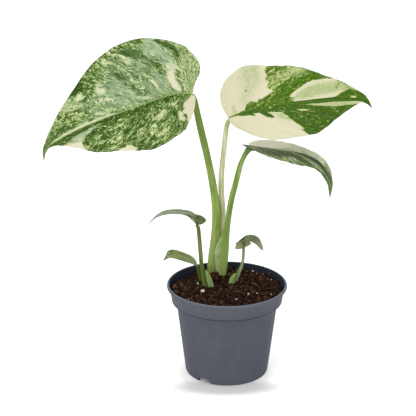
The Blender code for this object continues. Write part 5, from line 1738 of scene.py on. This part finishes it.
class MONSTERA_OT_stage(bpy.types.Operator):
    """Set the floor, the soft studio light and the camera"""

    bl_idname = "monstera.stage"
    bl_label = "Stage"

    def execute(self, context):
        settings = context.scene.monstera_stage
        shape = bmesh.new()
        bmesh.ops.create_circle(shape, cap_ends=True, radius=6000.0, segments=96)
        floor = add_object("floor", mesh_of("floor", shape, smooth=False), white_sweep())
        floor.data.transform(Matrix.Translation((0.0, 0.0, -0.0002)))
        context.scene.world = white_surround(settings.fill)
        softbox("key_softbox", (-0.55, -1.05, 1.30), 0.9, settings.key)
        softbox("front_softbox", (0.05, -1.45, 0.25), 0.8, settings.key * 0.32)
        softbox("rim_softbox", (-0.9, 0.9, 0.9), 0.8, settings.key * 0.22)
        camera = add_object("camera", bpy.data.cameras.new("camera"))
        camera.location = (0.0, -1.3030, 0.6263)
        camera.rotation_euler = (math.radians(70.7), 0.0, 0.0)
        camera.data.lens = settings.focal
        camera.data.sensor_width = 36.0
        camera.data.clip_end = 50.0
        context.scene.camera = camera
        context.scene.view_settings.view_transform = "Standard"
        return {"FINISHED"}


def scene_name(operator):
    """What the scene calls the settings of an operator."""
    return operator.bl_idname.replace(".", "_")


def list_settings(layout, settings):
    """Lists a group's settings, and those of each group in it under that group's name."""
    for name, held in type(settings).__annotations__.items():
        if held.function is PointerProperty:
            inner = layout.box()
            inner.label(text=name.title())
            list_settings(inner, getattr(settings, name))
        else:
            layout.prop(settings, name)


class MONSTERA_PT_panel(bpy.types.Panel):
    """The parts of the plant and their settings"""

    bl_idname = "MONSTERA_PT_panel"
    bl_label = "Potted Monstera"
    bl_space_type = "VIEW_3D"
    bl_region_type = "UI"
    bl_category = "Monstera"

    def draw(self, context):
        for operator, _ in PARTS:
            box = self.layout.box()
            box.operator(operator.bl_idname)
            list_settings(box, getattr(context.scene, scene_name(operator)))


PARTS = (
    (MONSTERA_OT_pot, MONSTERA_PG_pot),
    (MONSTERA_OT_compost, MONSTERA_PG_compost),
    (MONSTERA_OT_stalks, MONSTERA_PG_stalks),
    (MONSTERA_OT_leaves, MONSTERA_PG_leaves),
    (MONSTERA_OT_stage, MONSTERA_PG_stage),
)
TONES = (
    MONSTERA_PG_mottled, MONSTERA_PG_cream, MONSTERA_PG_drooping, MONSTERA_PG_upper, MONSTERA_PG_lower,
    MONSTERA_PG_curled,
)


def register():
    for group in TONES:
        bpy.utils.register_class(group)
    for operator, group in PARTS:
        bpy.utils.register_class(group)
        bpy.utils.register_class(operator)
        setattr(bpy.types.Scene, scene_name(operator), PointerProperty(type=group))
    bpy.utils.register_class(MONSTERA_PT_panel)


def unregister():
    bpy.utils.unregister_class(MONSTERA_PT_panel)
    for operator, group in reversed(PARTS):
        delattr(bpy.types.Scene, scene_name(operator))
        bpy.utils.unregister_class(operator)
        bpy.utils.unregister_class(group)
    for group in reversed(TONES):
        bpy.utils.unregister_class(group)


def main():
    register()
    bpy.ops.monstera.stage()
    bpy.ops.monstera.pot()
    bpy.ops.monstera.compost()
    bpy.ops.monstera.stalks()
    bpy.ops.monstera.leaves()


if __name__ == "__main__":
    main()
